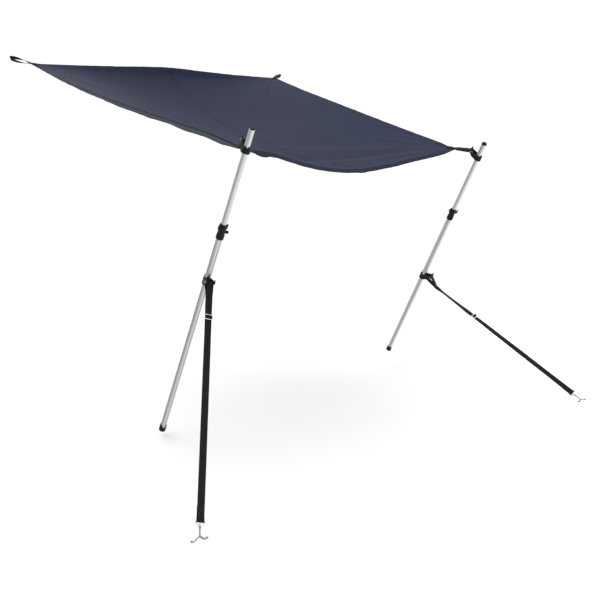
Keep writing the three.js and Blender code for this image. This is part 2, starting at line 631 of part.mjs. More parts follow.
// The strap from a front corner of the cloth round the pin of the top collar
function cornerStrap(side, collarFrame) {
  const corner = CORNERS[`front_${side}`];
  const pin = new THREE.Vector3(0, jawY(JAW.pinAt), jawZ(JAW.pinAt)).applyMatrix4(collarFrame.matrixWorld);
  const pinWay = new THREE.Vector3(1, 0, 0).transformDirection(collarFrame.matrixWorld);
  const middle = WEB.onCloth + WEB.layer / 2;
  const inwards = side === 'left' ? 1 : -1;
  const aim = new THREE.Vector3(-0.45 * inwards, -0.89, 0);
  const rough = cornerPlace(corner, pin, pinWay, aim);
  const ahead = rough.place(rough.long, middle, 0).sub(rough.place(rough.long, 0, 0));
  const { place, long } = cornerPlace(corner, pin.clone().sub(ahead), pinWay, aim);
  const round = JAW.pinR + WEB.gap + WEB.thick / 2;
  const tails = [-WEB.tail, -24, -14, -4];
  const path = [];
  for (const s of tails) path.push([s, WEB.onCloth + WEB.layer]);
  const free = belt([
    { s: 4, n: WEB.onCloth + WEB.layer, r: 0 },
    { s: long, n: middle, r: -round },
    { s: 4, n: WEB.onCloth, r: 0 },
  ]);
  free.forEach((point, i) => {
    if (i > 0 && Math.abs(point[0] - free[i - 1][0]) > 20) {
      for (const share of [0.25, 0.5, 0.75]) {
        path.push([between(free[i - 1][0], point[0], share), between(free[i - 1][1], point[1], share)]);
      }
    }
    path.push(point);
  });
  for (const s of [...tails].reverse()) path.push([s, WEB.onCloth]);
  add(`corner_strap_${side}`, band(path, place, 4), webbingMaterial);
}

// Tie-down strap, from its loop round the jaw to the ring, and the metal pieces on it
function tieDown(side, frame) {
  const out = vec(ARM[side]).normalize();
  const pinWay = new THREE.Vector3(1, 0, 0).transformDirection(frame.matrixWorld);
  const down = new THREE.Vector3(0, 0, -1).addScaledVector(pinWay, pinWay.z).normalize();
  const centre = new THREE.Vector3().applyMatrix4(frame.matrixWorld);
  const meet = centre.clone().addScaledVector(out, MEET[side].out).addScaledVector(down, MEET[side].down);
  const end = vec(HOOK_END[side]);
  const long = end.distanceTo(meet);
  const way = end.clone().sub(meet).normalize();
  // Around the jaw the strap lies square to the pin, and from there it turns slowly to its own way
  const topWay = way.clone().addScaledVector(pinWay, -way.dot(pinWay)).normalize();
  const topAcross = pinWay.clone();
  const topUp = topAcross.clone().cross(topWay).normalize();
  if (topUp.dot(out) < 0) {
    topAcross.negate();
    topUp.negate();
  }
  const acrossStart = topAcross.clone().addScaledVector(way, -topAcross.dot(way)).normalize();
  const frameAt = (s) => {
    const share = Math.min(Math.max(s / long, 0), 1);
    const twist = turned(along(STRAP_TWIST[side], share, 'turn'));
    const across = acrossStart.clone().applyAxisAngle(way, twist);
    const mix = THREE.MathUtils.smoothstep(s, 0, 60);
    across.multiplyScalar(mix).addScaledVector(topAcross, 1 - mix).normalize();
    const onward = way.clone().multiplyScalar(mix).addScaledVector(topWay, 1 - mix).normalize();
    return { across, up: across.clone().cross(onward).normalize(), onward };
  };
  const place = (s, n, w) => {
    if (s < 0) {
      return meet.clone().addScaledVector(topWay, s).addScaledVector(topUp, n).addScaledVector(topAcross, w);
    }
    const { across, up } = frameAt(s);
    return meet.clone().addScaledVector(way, s).addScaledVector(up, n).addScaledVector(across, w);
  };
  const flat = (point) => {
    const from = point.clone().sub(meet);
    return { s: from.dot(topWay), n: from.dot(topUp) };
  };
  const pin = flat(new THREE.Vector3(0, jawY(JAW.pinAt), jawZ(JAW.pinAt)).applyMatrix4(frame.matrixWorld));
  const bar = flat(new THREE.Vector3(0, jawY(JAW.barAt, JAW.barDrop), jawZ(JAW.barAt, JAW.barDrop))
    .applyMatrix4(frame.matrixWorld));
  const sliderAt = SLIDER_AT[side];
  const weave = SLIDER.barR + WEB.gap + WEB.thick / 2;
  const clear = WEB.gap + WEB.thick / 2;
  const ringBar = RING.bar / 2 + clear + 0.3;
  const stops = [
    { s: sliderAt + 14, n: -WEB.layer, r: 0 },
    { s: 6, n: -WEB.layer, r: 0 },
    { ...bar, r: -(JAW.barR + clear) },
    { ...pin, r: -(JAW.pinR + clear) },
    { s: 6, n: 0, r: 0 },
    { s: sliderAt - SLIDER.pitch, n: weave, r: weave },
    { s: sliderAt, n: weave, r: -weave },
    { s: sliderAt + SLIDER.pitch, n: weave, r: weave },
    { s: long - 14, n: 0, r: 0 },
    { s: long, n: -WEB.layer / 2, r: -ringBar },
    { s: long - 14, n: -WEB.layer, r: 0 },
    { s: long - STRAP_TAIL, n: -WEB.layer, r: 0 },
  ];
  const path = [];
  belt(stops).forEach((point, i, all) => {
    const gap = i ? Math.hypot(point[0] - all[i - 1][0], point[1] - all[i - 1][1]) : 0;
    const extra = Math.floor(gap / 60);
    for (let k = 1; k <= extra; k += 1) {
      path.push([0, 1].map((axis) => between(all[i - 1][axis], point[axis], k / (extra + 1))));
    }
    path.push(point);
  });
  add(`tie_strap_${side}`, band(path, place, 1), webbingMaterial);
  slider(side, sliderAt, place, weave);
  hookSet(side, meet, way, frameAt(long), long);
}

function slider(side, at, place, offset) {
  const half = SLIDER.wide / 2;
  const bar = (onward) => lifted(circle(SLIDER.barR, 10), null, -half + 1, half - 1)
    .rotateY(Math.PI / 2).translate(0, onward, 0);
  const frameLong = SLIDER.pitch + SLIDER.barR + 0.6;
  const thick = SLIDER.barR * 2 + 0.4;
  const edge = (x) => new THREE.BoxGeometry(SLIDER.edge, frameLong * 2, thick).translate(x, 0, 0);
  const body = joined([
    bar(-SLIDER.pitch), bar(0), bar(SLIDER.pitch),
    edge(-half + SLIDER.edge / 2), edge(half - SLIDER.edge / 2),
  ]);
  const origin = place(at, offset, 0);
  const across = place(at, offset, 1).sub(origin).normalize();
  const up = place(at, offset + 1, 0).sub(origin).normalize();
  const onward = up.clone().cross(across).normalize();
  const matrix = new THREE.Matrix4().makeBasis(across, onward, up).setPosition(origin);
  add(`slider_${side}`, outward(body.applyMatrix4(matrix)), steelMaterial);
}

// Ring, swivel hook and its thumb lever, drawn with +X across the strap and +Y onward
function hookSet(side, meet, way, endFrame, long) {
  const handed = side === 'left' ? -1 : 1;
  const matrix = new THREE.Matrix4().makeBasis(
    endFrame.across.clone(), way.clone(), endFrame.across.clone().cross(way));
  const lift = endFrame.up.clone().multiplyScalar(-WEB.layer / 2);
  matrix.setPosition(meet.clone().addScaledVector(way, long).add(lift));
  const half = RING.bar / 2;
  const wide = RING.wide / 2;
  const nose = RING.foot / 2;
  const ringOutline = (inset) => [
    [-wide + inset, -half + inset], [wide - inset, -half + inset],
    [wide - inset, RING.straight - inset * 0.36], [nose - inset * 0.45, RING.high - inset],
    [-nose + inset * 0.45, RING.high - inset], [-wide + inset, RING.straight - inset * 0.36],
  ].map(([x, y]) => new THREE.Vector2(x, y));
  const ringPlate = lifted(ringOutline(0), ringOutline(RING.bar), -RING.thick / 2, RING.thick / 2);
  const bossAt = RING.high - half;
  const boss = new THREE.BoxGeometry(8, 6, 7).translate(0, bossAt, 0);
  const bore = rod(2.1, -6, 6).rotateX(-Math.PI / 2).translate(0, bossAt, 0);
  const ring = joined([ringPlate, boss], [bore]);
  add(`strap_ring_${side}`, outward(ring.applyMatrix4(matrix)), steelMaterial);
  const below = bossAt + 3.3;
  const swivel = turnedProfile([
    [0, bossAt - 5.6], [2.6, bossAt - 5.4], [3.2, bossAt - 4.6], [3.2, bossAt - 3.3], [1.75, bossAt - 3.3],
    [1.75, below], [HOOK.barrelR, below], [HOOK.barrelR, below + 5], [HOOK.stemR, below + 6.5],
    [HOOK.stemR, below + HOOK.stem], [0, below + HOOK.stem],
  ], 12).rotateX(-Math.PI / 2);
  const foot = below + HOOK.stem;
  const arm = (rows, radius) => new THREE.ExtrudeGeometry(new THREE.Shape(circle(radius, 7)), {
    extrudePath: new THREE.CatmullRomCurve3(rows.map(([x, y]) => new THREE.Vector3(x * handed, y, 0))),
    steps: 9, bevelEnabled: false,
  });
  const ball = (x, y, radius, squeeze) => new THREE.SphereGeometry(radius, 8, 6)
    .scale(squeeze, 1, 1).translate(x * handed, y, 0);
  const heavy = [[0, foot - 2], [5, foot + 1.5], [10, foot + 4.5], [15, foot + 5.5], [19.5, foot + 3.5],
    [22, foot + 2.2]];
  const hook = joined([
    swivel, ball(0, foot - 0.5, 3.4, 1), arm(heavy, HOOK.armR), ball(22, foot + 2, HOOK.ball, 1.2),
  ]).rotateY(-turned(HOOK_TURN[side]));
  add(`hook_${side}`, outward(hook.applyMatrix4(matrix)), steelMaterial);
  const thin = [[-4.7, foot + 3], [-8, foot + 6], [-12.5, foot + 11.5], [-17, foot + 15.5], [-21, foot + 15]];
  const latch = joined([
    ball(-4.9, foot + 3.2, 2.3, 1), arm(thin, HOOK.thinR), ball(-22.5, foot + 14.6, HOOK.knob, 1.1),
  ]).rotateY(-turned(HOOK_TURN[side]));
  add(`hook_latch_${side}`, outward(latch.applyMatrix4(matrix)), steelMaterial);
}

add('canopy_cloth', clothSheet(), clothMaterial);
for (const side of ['left', 'right']) {
  const pole = poleFrame(side);
  poleTubes(side, pole);
  footCap(side, pole);
  middleClamp(side, pole);
  const corner = side === 'left' ? FRONT_LEFT : FRONT_RIGHT;
  const collarAt = new THREE.Vector3(0, 0, POLE.long - COLLAR_BELOW).applyMatrix4(pole.matrixWorld);
  const topFrame = fittingFrame(pole, POLE.long - COLLAR_BELOW, corner.clone().sub(collarAt).normalize());
  slideCollar(`top_collar_${side}`, `top_pin_${side}`, topFrame, POLE.upperR, TOP_COLLAR);
  const slideFrame = fittingFrame(pole, POLE.long - SLIDE_BELOW[side], vec(ARM[side]).normalize());
  slideCollar(`strap_slide_${side}`, `strap_slide_pin_${side}`, slideFrame, POLE.lowerR, STRAP_SLIDE);
  rearLoop(side);
  cornerStrap(side, topFrame);
  tieDown(side, slideFrame);
}

export default shade;
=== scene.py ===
"""A boat shade: navy cloth on two telescopic poles, with clamps, straps, hooks and loops."""

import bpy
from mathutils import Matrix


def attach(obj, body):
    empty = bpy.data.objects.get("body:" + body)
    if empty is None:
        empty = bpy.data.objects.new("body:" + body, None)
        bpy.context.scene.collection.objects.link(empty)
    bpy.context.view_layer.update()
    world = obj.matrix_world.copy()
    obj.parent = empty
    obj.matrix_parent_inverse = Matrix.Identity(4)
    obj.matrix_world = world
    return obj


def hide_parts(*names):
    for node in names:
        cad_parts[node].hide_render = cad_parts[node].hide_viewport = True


bl_info = {
    "name": "Boat shade",
    "version": (1, 0, 0),
    "blender": (4, 5, 0),
    "location": "3D View > Sidebar > Shade",
    "description": "Builds a cloth boat shade with its poles, clamps and tie-down straps",
    "category": "Add Mesh",
}

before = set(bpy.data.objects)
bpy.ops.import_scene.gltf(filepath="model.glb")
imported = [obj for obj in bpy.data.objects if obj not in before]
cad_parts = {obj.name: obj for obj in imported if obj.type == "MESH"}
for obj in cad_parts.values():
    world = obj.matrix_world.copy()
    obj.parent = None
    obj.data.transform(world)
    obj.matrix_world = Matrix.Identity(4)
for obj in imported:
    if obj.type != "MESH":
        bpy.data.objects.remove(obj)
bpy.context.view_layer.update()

import math

import bmesh
import bpy
import numpy as np
from mathutils import Vector

MM = 0.001
SIDES = ("left", "right")

# Sizes shared with the solids, in millimetres, +Z up, from the middle of the rear hem
REAR_LEFT = (-723.0, 0.0, -31.0)
REAR_RIGHT = (723.0, 0.0, -17.0)
FRONT_LEFT = (-570.0, -1580.0, -421.0)
FRONT_RIGHT = (549.0, -1546.0, -427.0)
CLOTH_THICK = 1.5

# Drop of the cloth below straight lines: (share of the way, drop)
REAR_DROP = [(0, 0), (0.25, 2), (0.5, 0), (0.75, 5), (1, 0)]
FRONT_DROP = [(0, 0), (0.06, 9), (0.11, 14), (0.2, 39), (0.31, 64), (0.42, 74), (0.52, 73),
              (0.65, 56), (0.75, 39), (0.86, 21), (1, 0)]
MIDDLE_DROP = [(0, 0), (0.025, 40), (0.086, 84), (0.2, 131), (0.32, 157), (0.44, 165),
               (0.56, 158), (0.68, 152), (0.78, 139), (0.88, 114), (1, 75)]
LEFT_DROP = [(0, 0), (0.14, 12), (0.28, 17), (0.5, 14), (0.75, 1), (0.9, -7), (1, 0)]
RIGHT_DROP = [(0, 0), (0.2, 5), (0.4, 4), (0.7, 2), (0.92, -1), (1, 0)]
SIDE_BORDER = [(0.03, 2), (0.28, 9), (0.5, 15), (0.75, 17), (0.85, 18), (0.93, 19), (0.975, 9), (1, 3)]
FRONT_BORDER = [(0, 2), (0.034, 3), (0.05, 12), (0.07, 18), (0.09, 19), (0.107, 12), (0.125, 12), (0.15, 13),
                (0.9, 13), (1, 3)]

# Soft folds out of the corners: (u, v, share of the corner's angle, spread, height, reach)
CORNER_FOLDS = [
    (1, 1, 0.2, 0.05, 7, 420), (1, 1, 0.33, 0.05, -6, 460), (1, 1, 0.5, 0.06, 6, 380),
    (0, 1, 0.25, 0.06, 5, 300), (0, 1, 0.55, 0.07, -5, 320), (1, 0, 0.45, 0.07, 5, 260),
    (0, 0, 0.5, 0.08, 4, 240),
]
# Creases in the cloth: (from u, from v, to u, to v, height, half width in mm)
CREASES = [
    (0.955, 0.97, 0.78, 0.84, -3.4, 11),
    (0.94, 0.93, 0.84, 0.74, 3.0, 12),
    (0.985, 0.90, 0.93, 0.60, -2.6, 13),
    (0.90, 0.985, 0.62, 0.93, 3.2, 14),
    (0.66, 0.985, 0.44, 0.945, -3.6, 15),
    (0.62, 0.95, 0.40, 0.90, 2.8, 16),
    (0.60, 0.73, 0.50, 0.69, -1.6, 10),
    (0.44, 0.50, 0.61, 0.66, -1.8, 12),
    (0.42, 0.56, 0.60, 0.80, 2.0, 14),
    (0.965, 0.03, 0.80, 0.24, -3.6, 12),
    (0.985, 0.02, 0.90, 0.20, 2.4, 10),
    (0.02, 0.03, 0.16, 0.20, -2.2, 11),
    (0.03, 0.97, 0.18, 0.80, -2.6, 12),
    (0.02, 0.93, 0.10, 0.72, 2.2, 10),
]
# Middle seam: share of the width, half width, stitch rows, painted shade; hem: depth, stitch rows
SEAM_AT, SEAM_HALF, SEAM_ROW, SEAM_SHADE = 0.503, 7.0, 5.5, 0.55
HEM, STITCH_ROWS = 20.0, (3.0, 17.5)
# Where the sheet has its grid lines in from an edge, and beside the seam
HEM_LINES = (0, 2, 4.5, 9, 14, 17, 18.8, 20, 21.5, 24)
SEAM_LINES = (-22, -14, -9, -7.6, -6.6, -5, -2, 0, 2, 5, 6.6, 7.6, 9, 14, 22)
# Shares of the turned-down border's depth
BORDER_STEPS = (0.3, 0.62, 1.0)
# Plan widths and length
REAR_WIDE, MIDDLE_WIDE, FRONT_WIDE, CLOTH_LONG = 1446.0, 1280.0, 1119.0, 1563.0
# Corners by (u, v), u from left to right and v from rear to front
CORNERS = {(0, 0): REAR_LEFT, (1, 0): REAR_RIGHT, (0, 1): FRONT_LEFT, (1, 1): FRONT_RIGHT}

# Stitches in metres: pitch, length and radius of the thread
CLOTH_STITCH, WEB_STITCH = (0.0046, 0.0036, 0.00035), (0.003, 0.0024, 0.0003)
STITCH_INPUTS = ("Pitch", "Stitch Length", "Thread Radius")
# How far the threads stand off the cloth, in millimetres
THREAD_LIFT = 0.1

# Webbing
WEB_WIDE, WEB_THICK, WEB_GAP, WEB_LAYER, WEB_ON_CLOTH, WEB_TAIL = 25.0, 1.6, 0.4, 1.9, 2.3, 34.0
# Box stitches: distance from the webbing's end and sides
BOX_IN, BOX_SIDE = 4.0, 3.0
# Weave of the webbing in metres
WEB_CORD, WEB_PICK = 0.0021, 0.0026
# Across the webbing: (share of the width, share of the thickness)
WEB_SECTION = [(-0.5, 0.42), (-0.488, 0.8), (-0.46, 1.0), (-0.4, 0.96), (-0.25, 1.0), (-0.1, 0.95),
               (0.0, 1.0), (0.1, 0.95), (0.25, 1.0), (0.4, 0.96), (0.46, 1.0), (0.488, 0.8), (0.5, 0.42)]
LOOP_LONG, LOOP_HALF = 102.0, 9.5
LOOP_AIM = {"left": (-82, 60, 25), "right": (74, 62, 22)}
LOOP_ROLL = {"left": 31, "right": -16}

# Poles
POLE_LONG, UPPER_R, LOWER_R, LOWER_BORE, WALL, OVERLAP = 1300.0, 9.9, 11.6, 10.3, 1.2, 120.0
TUBE_CHAMFER, TUBE_SIDES, JOINT_GAP = 0.5, 96, 1.4
COLLAR_BELOW, CLAMP_BELOW = 70.0, 372.0
SLIDE_BELOW = {"left": 575.0, "right": 754.0}
GROOVE_DEEP, GROOVE_HALF, GROOVES = 0.6, 0.09, (0.3, 1.9, 3.44, 5.04)
# Gap between a cap or collar and its tube
RUN = 0.4
TOP = {"left": (-590.0, -1672.0, -362.0), "right": (590.0, -1668.0, -404.0)}
FOOT = {"left": (-680.1, -1124.7, -1537.7), "right": (754.3, -980.9, -1495.3)}
ARM = {"left": (-0.25, -0.968, 0.0), "right": (0.38, -0.925, 0.0)}
PIN_AT, PIN_R, BAR_AT, BAR_DROP, BAR_R, JAW_RISE = 42.0, 2.5, 22.0, 7.0, 3.0, 24.0
DOME_HIGH, FOOT_FLOOR = 10.0, 4.0

# Finished copies of the solids: what counts as one point (m), as flat and as an edge (radians)
MERGE_WITHIN, FLAT_WITHIN, ROUNDED_FROM = 2e-6, math.radians(0.6), math.radians(26)
MOULDED = ("foot_cap", "mid_clamp", "clamp_knob", "clamp_lever", "top_collar", "strap_slide")
METAL = {"top_pin": "steel", "strap_slide_pin": "steel", "slider": "bright steel", "strap_ring": "ring steel"}
METAL_ROUNDING = 0.3
# Angles in degrees over which an edge is shaded sharp
WEB_SHARP, TUBE_SHARP, HOOK_SHARP, FITTING_SHARP = 50, 25, 32, 34
# The plug in the left tube: how far in it sits in the solids, and how far out it shows
PLUG_SINK, PLUG_PROUD = 3.0, 2.6

# Tie-down straps
HOOK_END = {"left": (-946, -1893, -1501), "right": (950, -1955, -1508)}
MEET = {"left": (52, 38), "right": (58, 54)}
STRAP_TWIST = {
    "left": [(0, 0), (0.3, -6), (1, -8)],
    "right": [(0, 0), (0.03, -20), (0.08, -22), (0.14, -18), (0.2, -13), (0.26, -1), (0.28, -1),
              (0.325, -1), (0.345, 0), (0.42, 6), (0.56, 9), (0.64, 14), (0.78, 15), (0.9, 20), (1, 25)],
}
SLIDER_AT = {"left": 91.0, "right": 240.0}
SLIDER_PITCH, SLIDER_BAR = 8.5, 1.5
# Turn of the corner straps about their own line: (share of the way, degrees)
CORNER_ROLL = {"left": [(0, 0), (1, 0)], "right": [(0, 0), (0.1, 13), (0.5, 9), (0.9, 3), (1, 0)]}
RING_HIGH, RING_BAR, STRAP_TAIL = 13.0, 3.0, 45.0
HOOK_BELOW, HOOK_STEM = 3.3, 29.0
# Outline of the swivel and stem, (radius, height) over the ring's end, the barrel and the stem's foot
HOOK_SWIVEL = [
    [(0.4, -5.7), (2.5, -5.6), (3.1, -5.0), (3.2, -4.2), (3.0, -3.4), (1.75, -3.3)],
    [(1.75, 0), (3.2, 0), (3.6, 0.5), (3.6, 2.2), (3.3, 2.5), (3.3, 2.9), (3.6, 3.2), (3.6, 4.6),
     (3.3, 5.2), (2.4, 6.6)],
    [(2.4, -3), (2.8, -1), (2.4, 0.6), (0.5, 1.4)],
]
# The two arms: name, solid, line from the stem's foot, radii, and balls (x, y, radius, squeeze)
HOOK_ARMS = [
    ("snap_hook", "hook", [(0, -2), (5, 1.5), (10, 4.5), (15, 5.5), (19.5, 3.5), (22, 2.2)], (3.1, 2.6),
     [(0, -0.5, 3.4, 1.0), (22, 2, 3.6, 1.2)]),
    ("snap_lever", "hook_latch", [(-4.7, 3), (-8, 6), (-12.5, 11.5), (-17, 15.5), (-21, 15)], (2.0, 2.0),
     [(-4.9, 3.2, 2.3, 1.0), (-22.5, 14.6, 3.7, 1.1)]),
]
HOOK_TURN = {"left": -20, "right": -80}

# Camera, floor and lights, in metres
CAMERA_AT, CAMERA_WAY = (-1.8716, -3.5557, -0.4088), (0.6016, 0.7687, -0.2173)
SENSOR, FOCAL_PIXELS, PICTURE_PIXELS = 36.0, 697.5, 600
FLOOR_R, FLOOR_MIDDLE, FLOOR_SIDES = 2.1, -1.25, 72
# (name, place, what it faces, size, power as a share of the key light)
LIGHTS = [
    ("key", (0.9, 2.8, 3.0), (0, -0.9, -0.4), 2.6, 1.0),
    ("fill", (3.2, -3.4, 0.8), (0.2, -0.9, -0.9), 2.2, 0.25),
]


def vec(values):
    return np.array(values, float)


def unit(v):
    return v / np.linalg.norm(v)


def turn_about(v, axis, angle):
    """v turned about a unit axis, in radians."""
    return (v * math.cos(angle) + np.cross(axis, v) * math.sin(angle)
            + axis * (axis @ v) * (1 - math.cos(angle)))


def along(table, share):
    """A smooth line through a table's values, at a share of the way."""
    at = vec([row[0] for row in table])
    value = vec([row[1] for row in table])
    last = len(at) - 1
    slope = vec([(value[min(k + 1, last)] - value[max(k - 1, 0)]) / (at[min(k + 1, last)] - at[max(k - 1, 0)])
                 for k in range(last + 1)])
    share = np.clip(share, at[0], at[-1])
    i = np.clip(np.searchsorted(at, share, side="left") - 1, 0, last - 1)
    wide = at[i + 1] - at[i]
    t = (share - at[i]) / wide
    return ((2 * t**3 - 3 * t**2 + 1) * value[i] + (t**3 - 2 * t**2 + t) * wide * slope[i]
            + (3 * t**2 - 2 * t**3) * value[i + 1] + (t**3 - t**2) * wide * slope[i + 1])


def mix(a, b, share):
    return a + (b - a) * share


def eased(t):
    """0 to 1, slow at both ends."""
    return t * t * (3 - 2 * t)


def waves(x, seed, octaves=3):
    """Smooth unevenness along a line, about -1 to 1, the same each run."""
    rng = np.random.default_rng(seed)
    total = np.zeros_like(np.asarray(x, float))
    for k in range(octaves):
        for _ in range(3):
            total += np.sin(x * 2**k * rng.uniform(0.7, 1.4) + rng.uniform(0, 6.28)) * 0.5**k / 2.2
    return total


def hump(x, middle, wide, power=2):
    """A smooth hump, 1 at its middle."""
    return np.exp(-(((x - middle) / wide) ** power))


# Meshes and materials
def linked(name, mesh):
    """A new object in the scene."""
    piece = bpy.data.objects.new(name, mesh)
    bpy.context.scene.collection.objects.link(piece)
    return piece


def reworked(mesh, change):
    """Makes one change to a mesh's faces and edges."""
    work = bmesh.new()
    work.from_mesh(mesh)
    change(work)
    work.to_mesh(mesh)
    work.free()


def sharpen(piece, degrees):
    """Marks edges sharp where the faces meet at more than an angle."""
    def change(work):
        for face in work.faces:
            face.smooth = True
        for edge in work.edges:
            meet = edge.calc_face_angle(0) if len(edge.link_faces) == 2 else 0
            edge.smooth = meet <= math.radians(degrees)

    reworked(piece.data, change)


def ring_faces(rings, sides, looped=False):
    """Faces between rings of points, closed by a face at each end or looped round."""
    faces = []
    for i in range(rings if looped else rings - 1):
        for k in range(sides):
            a, b = i * sides + k, i * sides + (k + 1) % sides
            ahead = ((i + 1) % rings - i) * sides
            faces.append((a, b, b + ahead, a + ahead))
    if not looped:
        faces.append(tuple(range(sides - 1, -1, -1)))
        faces.append(tuple(range((rings - 1) * sides, rings * sides)))
    return faces


def mesh_piece(name, points, faces, uv=None, sharp=None):
    """A new closed object from points in millimetres, with a UV for each point in metres."""
    mesh = bpy.data.meshes.new(name)
    mesh.from_pydata([tuple(p) for p in np.asarray(points) * MM], [], faces)
    if uv is not None:
        layer = mesh.uv_layers.new(name="surface")
        corners = np.zeros(len(mesh.loops), np.int32)
        mesh.loops.foreach_get("vertex_index", corners)
        layer.data.foreach_set("uv", np.asarray(uv, np.float32)[corners].ravel())
    mesh.validate()
    mesh.polygons.foreach_set("use_smooth", np.ones(len(mesh.polygons), bool))
    reworked(mesh, lambda work: bmesh.ops.recalc_face_normals(work, faces=work.faces))
    piece = linked(name, mesh)
    if sharp is not None:
        sharpen(piece, sharp)
    return piece


def baked(piece):
    """Turns what a piece's modifiers give into its own plain mesh."""
    bpy.context.view_layer.update()
    graph = bpy.context.evaluated_depsgraph_get()
    mesh = bpy.data.meshes.new_from_object(piece.evaluated_get(graph), preserve_all_data_layers=True,
                                           depsgraph=graph)
    piece.modifiers.clear()
    old, piece.data = piece.data, mesh
    mesh.name = piece.name
    if old.users == 0:
        bpy.data.meshes.remove(old)
    return piece


class Tree:
    """A short way to write a tree of nodes."""

    def __init__(self, tree):
        self.tree = tree

    def fill(self, node, inputs):
        """Sets a node's inputs, or links them to what is given."""
        for key, value in inputs.items():
            if isinstance(value, bpy.types.NodeSocket):
                self.tree.links.new(value, node.inputs[key])
            elif value is not None:
                node.inputs[key].default_value = value

    def node(self, kind, inputs=None, **settings):
        made = self.tree.nodes.new(kind)
        for key, value in settings.items():
            setattr(made, key, value)
        self.fill(made, inputs or {})
        return made

    def math(self, operation, *values, clamp=False):
        inputs = dict(enumerate(values))
        return self.node("ShaderNodeMath", inputs, operation=operation, use_clamp=clamp).outputs[0]

    def plus(self, a, b):
        return self.math("ADD", a, b)

    def times(self, a, b):
        return self.math("MULTIPLY", a, b)


class Nodes(Tree):
    """A material's node tree."""

    def __init__(self, name, colour, roughness, metallic=0.0):
        self.material = bpy.data.materials.new(name)
        self.material.use_nodes = True
        self.material.diffuse_color = (*colour, 1)
        super().__init__(self.material.node_tree)
        self.shader = self.tree.nodes["Principled BSDF"]
        self.fill(self.shader, {"Base Color": (*colour, 1), "Roughness": roughness, "Metallic": metallic})

    def place(self):
        """The point in the object's own space."""
        return self.node("ShaderNodeTexCoord").outputs["Object"]

    def surface(self):
        """The UV in metres, and its parts across and down."""
        uv = self.node("ShaderNodeUVMap", uv_map="surface").outputs["UV"]
        split = self.node("ShaderNodeSeparateXYZ", {"Vector": uv})
        return uv, split.outputs["X"], split.outputs["Y"]

    def scaled(self, point, *scale):
        return self.node("ShaderNodeMapping", {"Vector": point, "Scale": scale}).outputs[0]

    def noise(self, point, scale, detail=3.0, roughness=0.55):
        return self.node("ShaderNodeTexNoise", {"Vector": point, "Scale": scale, "Detail": detail,
                                                "Roughness": roughness}).outputs["Fac"]

    def attribute(self, name):
        return self.node("ShaderNodeAttribute", attribute_name=name).outputs["Fac"]

    def over(self, share, under, colour):
        """A share of one colour laid over what is under it."""
        inputs = {"Fac": share, "Color1": under, "Color2": (*colour, 1)}
        return self.node("ShaderNodeMixRGB", inputs).outputs[0]

    def ramp(self, value, colour, low, high):
        """Darker to lighter shades of a colour as value goes from 0.25 to 0.75."""
        made = self.node("ShaderNodeValToRGB", {"Fac": value})
        for element, position, factor in zip(made.color_ramp.elements, (0.25, 0.75), (low, high)):
            element.position = position
            element.color = (*shade_of(colour, factor), 1)
        return made.outputs["Color"]

    def bump(self, height, strength, distance, under=None):
        inputs = {"Height": height, "Strength": strength, "Distance": distance, "Normal": under}
        return self.node("ShaderNodeBump", inputs).outputs["Normal"]

    def finished(self, colour, roughness=None, normal=None, specular=None):
        """Joins what is given to the shader, and returns the material."""
        self.fill(self.shader, {"Base Color": colour, "Roughness": roughness, "Normal": normal,
                                "Specular IOR Level": specular})
        return self.material


def shade_of(colour, factor):
    return tuple(min(1.0, c * factor) for c in colour)


def cloth_material(sizes):
    colour = tuple(sizes.colour)
    n = Nodes("navy cloth", colour, 0.82)
    uv, across, down = n.surface()
    pitch = 2 * math.pi / sizes.thread
    weave = n.times(n.math("SINE", n.times(across, pitch)), n.math("SINE", n.times(down, pitch)))
    slubs = n.noise(n.scaled(uv, 900, 60, 1), 1.0, 2)
    picks = n.noise(n.scaled(uv, 50, 800, 1), 1.0, 2)
    cloud = n.noise(uv, 3.2, 5)
    threads = n.times(n.plus(slubs, picks), 0.5)
    main = n.ramp(n.plus(n.times(cloud, 0.55), n.times(threads, 0.45)), colour, 0.86, 1.14)
    # The turned-down border is painted paler and greyer, as painted light where it hangs towards the lamps;
    # each seam line, and the strip of cloth beside each side border, is darkened with painted shade
    paler = n.over(n.attribute("border"), main, sizes.border_lit_colour)
    shade_lined = n.over(n.attribute("line"), paler, shade_of(colour, 0.35))
    rumple = n.bump(n.noise(uv, 26.0, 4), 0.25, 0.0016, n.bump(weave, 0.35, 0.00012))
    return n.finished(shade_lined, n.plus(n.times(cloud, 0.12), 0.74), rumple, 0.06)


def webbing_material(sizes):
    colour = tuple(sizes.colour)
    n = Nodes("black webbing", colour, 0.72)
    uv, across, down = n.surface()
    cords = n.math("SINE", n.times(across, 2 * math.pi / WEB_CORD))
    lean = n.times(n.math("SIGN", cords), math.pi / 2)
    picks = n.math("SINE", n.plus(n.times(down, 2 * math.pi / WEB_PICK), lean))
    weave = n.plus(n.times(picks, 0.6), n.times(n.math("ABSOLUTE", cords), 0.7))
    cloud = n.noise(uv, 60.0, 4)
    main = n.ramp(n.plus(n.times(cloud, 0.6), n.times(weave, 0.2)), colour, 0.7, 1.5)
    # Painted highlight: two lengthwise ribs are painted lighter, as if they caught more light
    rib = n.math("COSINE", n.times(across, 4 * math.pi / (WEB_WIDE * MM)))
    rib_highlight = n.times(n.math("MAXIMUM", n.times(rib, -1.0), 0.0), 0.35)
    return n.finished(n.over(rib_highlight, main, shade_of(colour, 2.4)), None, n.bump(weave, 0.7, 0.00035), 0.16)


